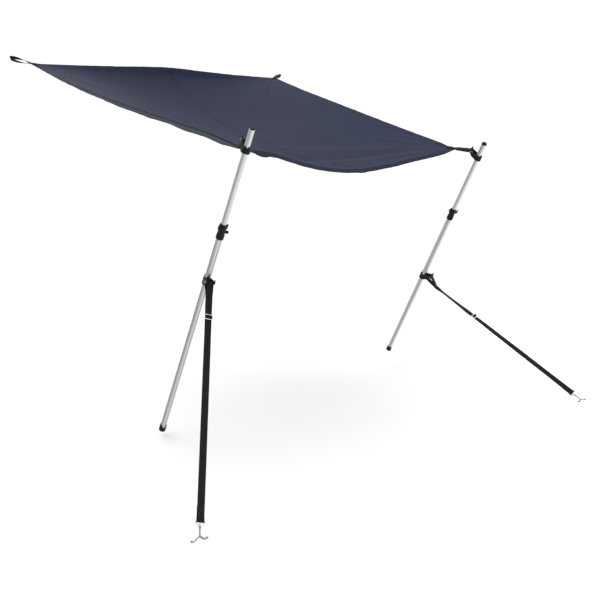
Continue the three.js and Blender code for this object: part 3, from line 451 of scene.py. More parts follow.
def tube_material(sizes):
    colour = tuple(sizes.tube_colour)
    n = Nodes("satin aluminium", colour, 0.34, 1.0)
    uv = n.surface()[0]
    draw = n.noise(n.scaled(uv, 1400, 5, 1), 1.0, 3)
    cloud = n.noise(n.scaled(uv, 30, 9, 1), 1.0, 4)
    # Painted shade: the grooves are darkened in colour, where shade falls in them
    shade_lined = n.over(n.attribute("groove_shade"), n.ramp(cloud, colour, 0.93, 1.04), shade_of(colour, 0.22))
    rough = n.plus(n.times(draw, 0.16), n.plus(n.times(cloud, 0.08), 0.22))
    return n.finished(shade_lined, rough, n.bump(draw, 0.12, 0.0001))


def plastic_material(name, colour, gloss):
    n = Nodes(name, colour, 0.46)
    point = n.place()
    cloud = n.noise(point, 42.0, 5)
    scuff = n.noise(n.scaled(point, 90, 90, 420), 1.0, 6, 0.7)
    worn = n.times(n.math("MAXIMUM", n.math("SUBTRACT", scuff, 0.60), 0.0), 3.0)
    paler = n.over(worn, n.ramp(cloud, colour, 0.8, 1.3), shade_of(colour, 3.2))
    grain = n.bump(n.noise(point, 1900.0, 2), 0.3, 0.0001)
    return n.finished(paler, n.plus(n.times(cloud, 0.2), 0.36), grain, gloss)


def steel_material(name, colour):
    n = Nodes(name, colour, 0.27, 1.0)
    point = n.place()
    brush = n.noise(n.scaled(point, 700, 700, 90), 1.0, 3)
    main = n.ramp(n.noise(point, 120.0, 4), colour, 0.86, 1.1)
    return n.finished(main, n.plus(n.times(brush, 0.22), 0.16), n.bump(brush, 0.15, 0.00008))


def thread_material(name, colour):
    n = Nodes(name, colour, 0.6)
    twist = n.noise(n.place(), 2600.0, 2)
    return n.finished(n.ramp(twist, colour, 0.7, 1.35), None, n.bump(twist, 0.4, 0.0001))


def floor_material():
    n = Nodes("pale floor", (0.9, 0.9, 0.9), 0.9)
    return n.finished(n.ramp(n.noise(n.place(), 0.7, 3), (1, 1, 1), 0.89, 0.91), specular=0.1)


FINISHES = {}


def material(name):
    """A finish, made the first time that it is asked for."""
    scene = bpy.context.scene
    nylon = tuple(scene.shade_poles.fitting_colour)
    makers = {
        "cloth": lambda: cloth_material(scene.shade_cloth),
        "webbing": lambda: webbing_material(scene.shade_webbing),
        "tube": lambda: tube_material(scene.shade_poles),
        "plastic": lambda: plastic_material("moulded black nylon", nylon, 0.16),
        "plug": lambda: plastic_material("dull black nylon", shade_of(nylon, 0.6), 0.02),
        "steel": lambda: steel_material("satin steel", (0.33, 0.335, 0.34)),
        "bright steel": lambda: steel_material("bright steel", (0.97, 0.97, 0.96)),
        "ring steel": lambda: steel_material("ring steel", (0.62, 0.62, 0.61)),
        "navy thread": lambda: thread_material("navy thread", tuple(scene.shade_cloth.thread_colour)),
        "black thread": lambda: thread_material("black thread", (0.02, 0.02, 0.022)),
    }
    if name not in FINISHES:
        FINISHES[name] = makers[name]()
    return FINISHES[name]


def give(piece, finish, slot, *nodes):
    """Gives a piece its finish, its place on the frame and the solids that it stands for."""
    piece.data.materials.clear()
    piece.data.materials.append(material(finish))
    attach(piece, "root")
    if nodes:
        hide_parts(*nodes)
    return piece


# Cloth
def seen_from(corner, x, y):
    """Plan distance from a corner, and the share of its right angle."""
    across, away = np.abs(x - corner[0]), np.abs(y - corner[1])
    return np.hypot(across, away), np.arctan2(away, across) / (math.pi / 2)


def cloth_point(u, v):
    """The middle of the cloth, without its fine folds."""
    u, v = np.broadcast_arrays(np.asarray(u, float), np.asarray(v, float))
    x = mix(mix(REAR_LEFT[0], REAR_RIGHT[0], u), mix(FRONT_LEFT[0], FRONT_RIGHT[0], u), v)
    y = mix(mix(REAR_LEFT[1], REAR_RIGHT[1], u), mix(FRONT_LEFT[1], FRONT_RIGHT[1], u), v)
    side = 2 * u - 1
    rear_z = np.where(side < 0, REAR_LEFT[2], REAR_RIGHT[2]) * np.abs(side)
    front_z = mix(FRONT_LEFT[2], FRONT_RIGHT[2], u)
    ends = mix(along(REAR_DROP, u), along(FRONT_DROP, u), v)
    sides = mix(along(LEFT_DROP, v), along(RIGHT_DROP, v), u)
    middle_ends = mix(0.0, along(FRONT_DROP, 0.5), v)
    middle_sides = mix(along(LEFT_DROP, v), along(RIGHT_DROP, v), 0.5)
    belly = np.maximum(0, 1 - 0.86 * np.abs(side) ** 1.9 - 0.14 * np.abs(side))
    drop = ends + sides + (along(MIDDLE_DROP, v) - middle_ends - middle_sides) * belly
    high = np.zeros_like(x)
    for cu, cv, turn, spread, height, reach in CORNER_FOLDS:
        distance, angle = seen_from(CORNERS[cu, cv], x, y)
        fade = distance / reach * np.exp(1 - distance / reach)
        high += height * hump(angle, turn, spread) * fade**2
    inside = np.maximum(0, 16 * u * (1 - u) * v * (1 - v))
    z = mix(rear_z, front_z, v) - drop + high * np.minimum(1, inside * 2.5)
    return np.stack([x, y, z], -1)


def cloth_normal(u, v):
    step = 0.004
    across = cloth_point(u + step, v) - cloth_point(u - step, v)
    front = cloth_point(u, v + step) - cloth_point(u, v - step)
    normal = np.cross(front, across)
    return normal / np.linalg.norm(normal, axis=-1, keepdims=True)


def edge_lengths(u, v):
    """Plan distances in mm to the left, right, rear and front edges, and to the seam."""
    wide = mix(REAR_RIGHT[0] - REAR_LEFT[0], FRONT_RIGHT[0] - FRONT_LEFT[0], v)
    long = mix(-FRONT_LEFT[1], -FRONT_RIGHT[1], u)
    return u * wide, (1 - u) * wide, v * long, (1 - v) * long, (u - SEAM_AT) * wide


def fine_height(u, v, strength):
    """Hems, seam, puckers, creases and corner fans, in mm along the normal."""
    left, right, rear, front, seam = edge_lengths(u, v)
    point = cloth_point(u, v)
    x, y = point[..., 0], point[..., 1]
    edge = np.minimum(np.minimum(left, right), np.minimum(rear, front))
    beside = np.abs(seam)
    raised = 0.45 / (1 + np.exp((edge - HEM) / 0.5))
    for row in STITCH_ROWS:
        raised -= 0.35 * hump(edge, row, 1.4)
    felled = 0.5 / (1 + np.exp((beside - SEAM_HALF) / 0.4)) - 0.3 * hump(beside, SEAM_ROW, 1.2)
    valley = -2.2 * hump(seam, 0, 17)
    pucker = np.zeros_like(x)
    for distance, run, seed in ((left, y, 3), (right, y, 5), (rear, x, 7), (front, x, 11)):
        ripple = waves(run / 13.0, seed) * 0.9 + waves(run / 34.0, seed + 1) * 1.3
        pucker += ripple * hump(distance, 0, 46, 1.3) * np.clip(distance / 12, 0.35, 1)
    pucker += (waves(y / 9.0, 17) * 0.55 + waves(y / 24.0, 18) * 0.8) * hump(beside, 0, 38, 1.4)
    creases = np.zeros_like(x)
    for u0, v0, u1, v1, height, half in CREASES:
        a, b = cloth_point(u0, v0)[:2], cloth_point(u1, v1)[:2]
        long = np.linalg.norm(b - a)
        way = (b - a) / long
        run = ((x - a[0]) * way[0] + (y - a[1]) * way[1]) / long
        off = (x - a[0]) * -way[1] + (y - a[1]) * way[0] + 6 * np.sin(run * 3.1)
        share = np.clip(run, 0, 1)
        body = hump(run * long, share * long, 30) * np.sin(math.pi * np.clip(share, 0.06, 0.94)) ** 0.6
        sharp = 1.0 / (1 + (off / (half * 0.8)) ** 2) - 0.35 / (1 + ((off - half * 1.9) / half) ** 2)
        creases += height * sharp * body
    fans = np.zeros_like(x)
    rng = np.random.default_rng(23)
    for corner, count in ((REAR_LEFT, 9), (REAR_RIGHT, 9), (FRONT_LEFT, 11), (FRONT_RIGHT, 13)):
        distance, angle = seen_from(corner, x, y)
        for k in range(count):
            turn = (k + rng.uniform(0.15, 0.85)) / count
            reach = rng.uniform(110, 300)
            height = rng.uniform(0.8, 2.1) * rng.choice([-1, 1])
            fade = hump(distance, 0, reach) * (1 - hump(distance, 0, 55))
            fans += height * hump(angle, turn, rng.uniform(0.018, 0.04)) * fade
    soft = waves(x / 95.0 + y / 210.0, 31, 2) * waves(y / 120.0 - x / 260.0, 32, 2) * 1.8
    soft = soft * np.clip(edge / 90, 0, 1)
    return raised + felled + (valley + pucker + creases + fans + soft) * strength


def border_point(point, u_side, v, deep_share):
    """A point on the turned-down side border, deep_share of the way down it."""
    wave = 1.8 * np.sin(v * 41) + 1.2 * np.sin(v * 23 + 1)
    deep = np.maximum(2, along(SIDE_BORDER, v) + wave * v)
    out = point.copy()
    out[..., 2] -= deep * deep_share
    bulge = 0.22 * deep * deep_share + 1.2 * math.sin(math.pi * deep_share)
    out[..., 0] += u_side * (bulge + waves(v * 95, 41) * 0.8 * deep_share)
    return out


def column_shares(row_v):
    """Columns as shares of the width at a row, close together at the hems and the seam."""
    wide = mix(REAR_RIGHT[0] - REAR_LEFT[0], FRONT_RIGHT[0] - FRONT_LEFT[0], row_v)
    middle, hem, beside = SEAM_AT * wide, HEM_LINES[-1], SEAM_LINES[-1]
    left = np.linspace(hem, middle - beside, 66)[1:-1]
    right = np.linspace(middle + beside, wide - hem, 66)[1:-1]
    marks = [HEM_LINES, left, middle + vec(SEAM_LINES), right, wide - vec(HEM_LINES[::-1])]
    return np.concatenate(marks) / wide


def row_shares():
    """Rows as shares of the length, close together at the hems."""
    hem, inset = vec(HEM_LINES), HEM_LINES[-1]
    middle = np.linspace(0, 1, 150)[1:-1] ** 1.12 * (CLOTH_LONG - 2 * inset) + inset
    return np.concatenate([hem, middle, (CLOTH_LONG - hem)[::-1]]) / CLOTH_LONG


def cloth_rows(folds):
    """Points of the middle of the sheet, row by row, with its turned-down borders."""
    grid = []
    for row_v in row_shares():
        u = column_shares(row_v)
        v = np.full_like(u, row_v)
        middle = cloth_point(u, v) + cloth_normal(u, v) * fine_height(u, v, folds)[:, None]
        left = [border_point(middle[:1], -1, v[:1], s) for s in BORDER_STEPS[::-1]]
        right = [border_point(middle[-1:], 1, v[:1], s) for s in BORDER_STEPS]
        grid.append(np.concatenate(left + [middle] + right))
    steps = len(BORDER_STEPS)
    u = column_shares(1.0)
    last = grid[-1]
    for share in BORDER_STEPS:
        deep = along(FRONT_BORDER, u) * share
        flutter = waves(u * 60, 43) * 1.1 * share
        row = last.copy()
        row[steps:-steps, 2] -= deep
        row[steps:-steps, 1] -= 0.25 * deep + 1.2 * math.sin(math.pi * share) + flutter
        for k in range(steps):
            for index, near in ((steps - 1 - k, steps), (len(row) - steps + k, len(row) - steps - 1)):
                row[index] = mix(last[index], row[near], 0.5 * share)
                row[index, 1] -= 2 * share
        grid.append(row)
    return np.array(grid)


def build_cloth(sizes):
    """The cloth as one closed sheet, hemmed and seamed."""
    rows = cloth_rows(sizes.folds)
    count, wide = rows.shape[:2]
    down = np.cumsum(np.linalg.norm(np.diff(rows[:, wide // 2], axis=0), axis=1))
    down = np.concatenate([[0], down])
    across = np.cumsum(np.linalg.norm(np.diff(rows, axis=1), axis=2), axis=1)
    across = np.concatenate([np.zeros((count, 1)), across], axis=1)
    seam_column = int(np.argmin(np.abs(column_shares(0.5) - SEAM_AT))) + len(BORDER_STEPS)
    across = across - across[:, seam_column:seam_column + 1]
    half = sheet_normals(rows) * CLOTH_THICK / 2
    points = np.concatenate([(rows + half).reshape(-1, 3), (rows - half).reshape(-1, 3)])
    uv = np.stack([across, np.broadcast_to(down[:, None], across.shape)], -1).reshape(-1, 2) * MM
    faces = []
    under = count * wide
    for j in range(count - 1):
        for i in range(wide - 1):
            a = j * wide + i
            b, c, d = a + 1, a + wide, a + wide + 1
            faces.append((a, c, d, b))
            faces.append((under + a, under + b, under + d, under + c))
    index = np.arange(under).reshape(count, wide)
    rim = np.concatenate([index[0], index[1:, -1], index[-1, -2::-1], index[-2:0:-1, 0]]).tolist()
    for a, b in zip(rim, rim[1:] + rim[:1]):
        faces.append((a, b, under + b, under + a))
    piece = mesh_piece("canopy_sheet", points, faces, np.concatenate([uv, uv]))
    marks_on_cloth(piece, count, wide)
    return give(piece, "cloth", "cloth", "canopy_cloth")


def sheet_normals(rows):
    """Unit normals of a grid of points, pointing up on the flat part."""
    down = np.gradient(rows, axis=0)
    across = np.gradient(rows, axis=1)
    normal = np.cross(down, across)
    normal /= np.maximum(np.linalg.norm(normal, axis=2, keepdims=True), 1e-9)
    return normal


def marks_on_cloth(piece, count, wide):
    """Attributes: how much painted light shows on the border, and where painted shade darkens a seam line."""
    steps = len(BORDER_STEPS)
    border, line = np.zeros((count, wide)), np.zeros((count, wide))
    # Painted light: the side borders get the full paler border colour, the front border a little of it
    border[:, :steps] = border[:, -steps:] = 1.0
    border[-steps:, :] = 0.35
    flat = line[:-steps]
    # Painted shadow: the columns just inside each side border are darkened, where the border's fold throws
    # shade
    flat[:, steps:steps + 3] = (0.9, 0.75, 0.3)
    flat[:, -steps - 3:-steps] = (0.3, 0.75, 0.9)
    # Painted shade along the middle seam, darkest on its line
    seam = SEAM_SHADE * hump(column_shares(0.5) * MIDDLE_WIDE, SEAM_AT * MIDDLE_WIDE, 4.5)
    flat[:, steps:-steps] = np.maximum(flat[:, steps:-steps], seam)
    for name, values in (("border", border), ("line", line)):
        layer = piece.data.attributes.new(name, "FLOAT", "POINT")
        layer.data.foreach_set("value", np.tile(values.ravel(), 2).astype(np.float32))


def surface_line(start, end, steps, folds):
    """Points just over the cloth, along a line between two places (u, v)."""
    share = np.linspace(0, 1, steps)
    u, v = mix(start[0], end[0], share), mix(start[1], end[1], share)
    high = fine_height(u, v, folds) + CLOTH_THICK / 2 + THREAD_LIFT
    return cloth_point(u, v) + cloth_normal(u, v) * high[:, None]


def hem_lines(folds):
    """The stitch rows of the hems and of the seam."""
    lines = []
    for offset in STITCH_ROWS:
        rear, front, down = offset / REAR_WIDE, offset / FRONT_WIDE, offset / CLOTH_LONG
        ends = [((rear, down), (1 - rear, down), 420), ((front, 1 - down), (1 - front, 1 - down), 340),
                ((rear, down), (front, 1 - down), 460), ((1 - rear, down), (1 - front, 1 - down), 460)]
        lines += [surface_line(start, end, steps, folds) for start, end, steps in ends]
    for offset in (-SEAM_ROW, SEAM_ROW):
        start, end = (SEAM_AT + offset / REAR_WIDE, 0.012), (SEAM_AT + offset / FRONT_WIDE, 0.988)
        lines.append(surface_line(start, end, 460, folds))
    return lines


# Stitches
def stitch_tree():
    """Geometry nodes: short threads set end to end along every line of a mesh."""
    group = bpy.data.node_groups.new("stitch rows", "GeometryNodeTree")
    face = group.interface
    face.new_socket("Geometry", in_out="INPUT", socket_type="NodeSocketGeometry")
    for name, default in zip(STITCH_INPUTS, CLOTH_STITCH):
        socket = face.new_socket(name, in_out="INPUT", socket_type="NodeSocketFloat")
        socket.subtype = "DISTANCE"
        socket.default_value = default
    face.new_socket("Thread", in_out="INPUT", socket_type="NodeSocketMaterial")
    face.new_socket("Geometry", in_out="OUTPUT", socket_type="NodeSocketGeometry")
    t = Tree(group)
    start = t.node("NodeGroupInput")
    pitch, long, radius = (start.outputs[name] for name in STITCH_INPUTS)
    curve = t.node("GeometryNodeMeshToCurve", {"Mesh": start.outputs["Geometry"]})
    spots = t.node("GeometryNodeCurveToPoints", {"Curve": curve.outputs[0], "Length": pitch}, mode="LENGTH")
    thread = t.node("GeometryNodeMeshUVSphere", {"Segments": 5, "Rings": 4, "Radius": 1.0})
    size = t.node("ShaderNodeCombineXYZ", {"X": radius, "Y": radius, "Z": t.times(long, 0.5)})
    put = t.node("GeometryNodeInstanceOnPoints", {
        "Points": spots.outputs["Points"], "Rotation": spots.outputs["Rotation"],
        "Instance": thread.outputs["Mesh"], "Scale": size.outputs[0]})
    real = t.node("GeometryNodeRealizeInstances", {"Geometry": put.outputs["Instances"]})
    paint = t.node("GeometryNodeSetMaterial", {"Geometry": real.outputs[0],
                                               "Material": start.outputs["Thread"]})
    t.node("NodeGroupOutput", {"Geometry": paint.outputs[0]})
    return group


def stitched(name, lines, finish, slot, sizes):
    """Stitches along lines of points in mm, as one plain mesh."""
    points, edges = [], []
    for line in lines:
        first = len(points)
        points.extend(tuple(p) for p in np.asarray(line) * MM)
        edges.extend((k, k + 1) for k in range(first, len(points) - 1))
    mesh = bpy.data.meshes.new(name)
    mesh.from_pydata(points, edges, [])
    piece = linked(name, mesh)
    tree = bpy.data.node_groups.get("stitch rows") or stitch_tree()
    modifier = piece.modifiers.new("stitches", "NODES")
    modifier.node_group = tree
    values = {**dict(zip(STITCH_INPUTS, sizes)), "Thread": material(finish)}
    for item in tree.interface.items_tree:
        if item.item_type == "SOCKET" and item.in_out == "INPUT" and item.name in values:
            modifier[item.identifier] = values[item.name]
    baked(piece)
    piece.data.polygons.foreach_set("use_smooth", np.ones(len(piece.data.polygons), bool))
    return give(piece, finish, slot)


# Webbing
def belt(stops):
    """A path round stops (s, n, r), each on its left where r is above 0."""
    lines = []
    for (s0, n0, r0), (s1, n1, r1) in zip(stops, stops[1:]):
        ds, dn = s1 - s0, n1 - n0
        lines.append(math.atan2(dn, ds) - math.asin((r1 - r0) / math.hypot(ds, dn)))
    path = []
    full = 2 * math.pi
    for i, (s, n, r) in enumerate(stops):
        start, end = lines[max(i - 1, 0)], lines[min(i, len(lines) - 1)]
        bend = (end - start) % full if r > 0 else -((start - end) % full) if r < 0 else 0.0
        steps = 0 if r == 0 else max(1, math.ceil(abs(bend) / 0.28))
        for k in range(steps + 1):
            angle = start + (bend * k / steps if steps else 0)
            path.append((s + r * math.sin(angle), n - r * math.cos(angle)))
    return path


def finely(path, step):
    """The same path with points no further apart than step."""
    made = [path[0]]
    for a, b in zip(path, path[1:]):
        count = max(1, math.ceil(math.hypot(b[0] - a[0], b[1] - a[1]) / step))
        made.extend((mix(a[0], b[0], k / count), mix(a[1], b[1], k / count)) for k in range(1, count + 1))
    return made


def band(name, path, place):
    """Flat webbing along a path; place(s, n, w) gives the point in space."""
    points, uv = [], []
    run = 0.0
    for i, (s, n) in enumerate(path):
        before, after = path[max(i - 1, 0)], path[min(i + 1, len(path) - 1)]
        inward = vec((s - before[0], n - before[1]))
        onward = vec((after[0] - s, after[1] - n))
        inward = unit(inward) if i else unit(onward)
        onward = unit(onward) if i < len(path) - 1 else inward
        mean = unit(inward + onward)
        run += math.hypot(s - before[0], n - before[1])
        half = WEB_THICK / 2 / max(0.6, mean @ onward)
        for side, section in ((1, WEB_SECTION), (-1, WEB_SECTION[::-1])):
            for share, thick in section:
                off = half * thick * side
                points.append(place(s - mean[1] * off, n + mean[0] * off, WEB_WIDE * share))
                uv.append((share * WEB_WIDE * MM, run * MM))
    faces = ring_faces(len(path), 2 * len(WEB_SECTION))
    return mesh_piece(name, points, faces, uv, WEB_SHARP), run * MM


def box_stitch(place, start, end, n):
    """A stitched box with its cross, on webbing between two stations."""
    half = WEB_WIDE / 2 - BOX_SIDE
    corners = [(start, -half), (start, half), (end, half), (end, -half), (start, -half), (end, half)]
    strokes = [*zip(corners, corners[1:]), ((start, half), (end, -half))]
    return [[place(mix(s0, s1, t), n, mix(w0, w1, t)) for t in np.linspace(0, 1, 14)]
            for (s0, w0), (s1, w1) in strokes]


def web_piece(kind, node, side, path, place, lines):
    """One band of webbing with its stitches."""
    piece, long = band(f"{kind}_web_{side}", path, place)
    give(piece, "webbing", "webbing", f"{node}_{side}")
    stitched(f"{kind}_web_stitches_{side}", lines, "black thread", "webbing", WEB_STITCH)


def sewn_on(kind, node, side, way, place):
    """Webbing that leaves the cloth and comes back to it, its two ends sewn on together."""
    over = WEB_ON_CLOTH + WEB_LAYER
    start = [(s, over) for s in np.linspace(-WEB_TAIL, -4, 8)]
    end = [(s, WEB_ON_CLOTH) for s in np.linspace(-4, -WEB_TAIL, 8)]
    lines = box_stitch(place, -WEB_TAIL + BOX_IN, -5, over + WEB_THICK / 2)
    web_piece(kind, node, side, start + way + end, place, lines)


def corner_frame(u0, v0, end, end_across, aim, roll=((0, 0), (1, 0))):
    """place(s, n, w): on the cloth where s < 0, and on towards the end where s > 0."""
    step = 0.002
    u_way = (cloth_point(u0 + step, v0) - cloth_point(u0 - step, v0)) / (2 * step)
    v_way = (cloth_point(u0, v0 + step) - cloth_point(u0, v0 - step)) / (2 * step)
    flat = u_way[0] * v_way[1] - u_way[1] * v_way[0]
    out = unit(vec((aim[0], aim[1], 0)))
    side = vec((-out[1], out[0], 0))

    def lay(s, w, n):
        x, y = out[0] * s + side[0] * w, out[1] * s + side[1] * w
        u = u0 + (x * v_way[1] - y * v_way[0]) / flat
        v = v0 + (u_way[0] * y - u_way[1] * x) / flat
        return cloth_point(u, v) + cloth_normal(u, v) * n

    tip_point = lay(0, 0, 0)
    tip_out = unit(tip_point - lay(-6, 0, 0))
    tip_up = cloth_normal(np.float64(u0), np.float64(v0))
    tip_side = unit(np.cross(tip_up, tip_out))
    long = float(np.linalg.norm(end - tip_point))
    end_out = unit(end - tip_point)
    end_side = unit(end_across - end_out * (end_across @ end_out))
    if end_side @ tip_side < 0:
        end_side = -end_side
    p0, p1, p2, p3 = tip_point, tip_point + tip_out * long * 0.25, end - end_out * long * 0.35, end

    def place(s, n, w):
        if s < 0:
            return lay(s, w, n)
        t = min(s / long, 1)
        blend = eased(t)
        across = unit(tip_side * (1 - blend) + end_side * blend)
        point = p0 * (1 - t)**3 + 3 * p1 * t * (1 - t)**2 + 3 * p2 * t * t * (1 - t) + p3 * t**3
        onward = unit((p1 - p0) * (1 - t)**2 + 2 * (p2 - p1) * t * (1 - t) + (p3 - p2) * t * t)
        across = turn_about(across, onward, math.radians(float(along(roll, t))))
        up = unit(np.cross(onward, across))
        return point + onward * max(0, s - long) + up * n + across * w

    return place, long


class Fitting:
    """A place on a pole, its own +Y turned towards a direction and +Z up the pole."""

    def __init__(self, side, below, aim):
        foot, top = vec(FOOT[side]), vec(TOP[side])
        self.z = unit(top - foot)
        self.y = unit(aim - self.z * (aim @ self.z))
        self.x = np.cross(self.y, self.z)
        self.centre = foot + self.z * (POLE_LONG - below)

    def point(self, x, y, z):
        return self.centre + self.x * x + self.y * y + self.z * z


def jaw_place(out, down=0.0):
    """Y and Z on a jaw whose line runs out from the pole and up."""
    rise = math.radians(JAW_RISE)
    return (out * math.cos(rise) + down * math.sin(rise), out * math.sin(rise) - down * math.cos(rise))


def top_fitting(side):
    """The place of a pole's top collar, turned towards the cloth's corner."""
    corner = vec(FRONT_LEFT if side == "left" else FRONT_RIGHT)
    centre = Fitting(side, COLLAR_BELOW, vec(ARM[side])).centre
    return Fitting(side, COLLAR_BELOW, unit(corner - centre))


def build_rear_loop(side):
    """The loop of webbing on a rear corner."""
    corner = vec(REAR_LEFT if side == "left" else REAR_RIGHT)
    aim = unit(vec(LOOP_AIM[side]))
    across = turn_about(unit(vec((-aim[1], aim[0], 0))), aim, math.radians(LOOP_ROLL[side]))
    u0 = 0.0 if side == "left" else 1.0
    place, long = corner_frame(u0, 0.0, corner + aim * LOOP_LONG, across, aim)
    middle = WEB_ON_CLOTH + WEB_LAYER / 2
    way = [(long / 2 * (1 - math.cos(angle)),
            middle + (LOOP_HALF + 0.8) * math.sin(angle) * math.sin(angle / 2) ** 1.1)
           for angle in np.linspace(0.42, 2 * math.pi - 0.42, 61)]
    sewn_on("rear", "rear_loop", side, way, place)


def build_corner_strap(side):
    """The strap from a front corner round the pin of the top collar."""
    jaw = top_fitting(side)
    pin = jaw.point(0, *jaw_place(PIN_AT))
    middle = WEB_ON_CLOTH + WEB_LAYER / 2
    u0, inwards = (0.0, 1) if side == "left" else (1.0, -1)
    aim = vec((-0.45 * inwards, -0.89, 0))
    rough, rough_long = corner_frame(u0, 1.0, pin, jaw.x, aim, CORNER_ROLL[side])
    ahead = rough(rough_long, middle, 0) - rough(rough_long, 0, 0)
    place, long = corner_frame(u0, 1.0, pin - ahead, jaw.x, aim, CORNER_ROLL[side])
    around = PIN_R + WEB_GAP + WEB_THICK / 2
    stops = [(4, WEB_ON_CLOTH + WEB_LAYER, 0), (long, middle, -around), (4, WEB_ON_CLOTH, 0)]
    sewn_on("corner", "corner_strap", side, finely(belt(stops), 8), place)


class TieStrap:
    """The way of a tie-down strap, from where its two strands meet to its hook."""

    def __init__(self, side):
        out = unit(vec(ARM[side]))
        self.twist = STRAP_TWIST[side]
        self.slide = Fitting(side, SLIDE_BELOW[side], out)
        down = unit(vec((0, 0, -1)) + self.slide.x * self.slide.x[2])
        self.meet = self.slide.centre + out * MEET[side][0] + down * MEET[side][1]
        reach = vec(HOOK_END[side]) - self.meet
        self.long, self.way = float(np.linalg.norm(reach)), unit(reach)
        self.top_way = unit(self.way - self.slide.x * (self.way @ self.slide.x))
        self.top_across = self.slide.x
        self.top_up = unit(np.cross(self.top_across, self.top_way))
        if self.top_up @ out < 0:
            self.top_across, self.top_up = -self.top_across, -self.top_up
        self.across = unit(self.top_across - self.way * (self.top_across @ self.way))

    def turned(self, s):
        """The strap's directions across and up at a distance along it."""
        share = min(max(s / self.long, 0), 1)
        twist = math.radians(float(along(self.twist, share)))
        blend = eased(min(max(s / 60, 0), 1))
        across = turn_about(self.across, self.way, twist)
        across = unit(across * blend + self.top_across * (1 - blend))
        onward = unit(self.way * blend + self.top_way * (1 - blend))
        return across, unit(np.cross(across, onward))

    def place(self, s, n, w):
        if s < 0:
            return self.meet + self.top_way * s + self.top_up * n + self.top_across * w
        across, up = self.turned(s)
        return self.meet + self.way * s + up * n + across * w

    def flat(self, point):
        return (point - self.meet) @ self.top_way, (point - self.meet) @ self.top_up


def build_tie_strap(side):
    """The strap from the sliding collar through its slider to the ring of its hook."""
    strap = TieStrap(side)
    long, at = strap.long, SLIDER_AT[side]
    pin = strap.flat(strap.slide.point(0, *jaw_place(PIN_AT)))
    bar = strap.flat(strap.slide.point(0, *jaw_place(BAR_AT, BAR_DROP)))
    clear = WEB_GAP + WEB_THICK / 2
    weave = SLIDER_BAR + clear
    ring = RING_BAR / 2 + clear + 0.3
    stops = [
        (at + 14, -WEB_LAYER, 0), (6, -WEB_LAYER, 0), (*bar, -(BAR_R + clear)), (*pin, -(PIN_R + clear)),
        (6, 0, 0), (at - SLIDER_PITCH, weave, weave), (at, weave, -weave), (at + SLIDER_PITCH, weave, weave),
        (long - 14, 0, 0), (long, -WEB_LAYER / 2, -ring), (long - 14, -WEB_LAYER, 0),
        (long - STRAP_TAIL, -WEB_LAYER, 0),
    ]
    top = WEB_THICK / 2
    lines = box_stitch(strap.place, long - STRAP_TAIL + BOX_IN, long - 17, top)
    lines += [[strap.place(at + 14 + d, top, w) for w in np.linspace(-9.5, 9.5, 9)] for d in (-3.0, -6.0)]
    web_piece("tie", "tie_strap", side, finely(belt(stops), 9), strap.place,
              lines)


# Tubes
def tube_piece(name, side, node, radius_at, bore, low, high):
    """A tube about the pole's line between two heights above the foot."""
    spot = Fitting(side, POLE_LONG, vec(ARM[side]))
    angles = np.arange(TUBE_SIDES) / TUBE_SIDES * 2 * math.pi
    rings = [(0.0, z) for z in np.linspace(low + TUBE_CHAMFER, high - TUBE_CHAMFER, 40)]
    rings += [(-TUBE_CHAMFER, high), (None, high), (None, low), (-TUBE_CHAMFER, low)]
    points, uv = [], []
    for inset, z in rings:
        for angle in angles:
            r = bore if inset is None else radius_at(angle) + inset
            points.append(spot.point(math.cos(angle) * r, math.sin(angle) * r, z))
            uv.append((angle * r * MM, z * MM))
    piece = mesh_piece(name, points, ring_faces(len(rings), TUBE_SIDES, looped=True), uv, TUBE_SHARP)
    # Where the grooves lie, for the painted shade in the tube's material
    deep = [(radius_at(0.0) - radius_at(angle)) / GROOVE_DEEP for angle in angles]
    layer = piece.data.attributes.new("groove_shade", "FLOAT", "POINT")
    layer.data.foreach_set("value", np.tile(np.clip(deep, 0, 1), len(rings)).astype(np.float32))
    give(piece, "tube", "tube", f"{node}_{side}")


def grooved(angle):
    """The lower tube's radius, with its drawn grooves."""
    depth = 0.0
    for at in GROOVES:
        off = abs((angle - at + math.pi) % (2 * math.pi) - math.pi)
        depth = max(depth, GROOVE_DEEP if off < GROOVE_HALF else 0.0)
    return LOWER_R - depth


# Fittings
def finished_copy(name, node, finish, slot, width):
    """A copy of a solid with its edges rounded over."""
    def cleaned(work):
        bmesh.ops.remove_doubles(work, verts=work.verts, dist=MERGE_WITHIN)
        bmesh.ops.dissolve_limit(work, angle_limit=FLAT_WITHIN, verts=work.verts, edges=work.edges)

    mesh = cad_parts[node].data.copy()
    mesh.name = name
    piece = linked(name, mesh)
    reworked(mesh, cleaned)
    bevel = piece.modifiers.new("edge", "BEVEL")
    bevel.width = width * MM
    bevel.segments = 2
    bevel.limit_method = "ANGLE"
    bevel.angle_limit = ROUNDED_FROM
    bevel.use_clamp_overlap = True
    baked(piece)
    sharpen(piece, FITTING_SHARP)
    return give(piece, finish, slot, node)


def tube_along(points, radii, sides=14):
    """Points and faces of a closed round bar along points, in mm."""
    made = []
    for i, p in enumerate(points):
        way = unit(points[min(i + 1, len(points) - 1)] - points[max(i - 1, 0)])
        side = unit(np.cross(way, (0, 0, 1)))
        rise = np.cross(side, way)
        for angle in np.arange(sides) / sides * 2 * math.pi:
            made.append(p + (side * math.cos(angle) + rise * math.sin(angle)) * radii[i])
    return made, ring_faces(len(points), sides)


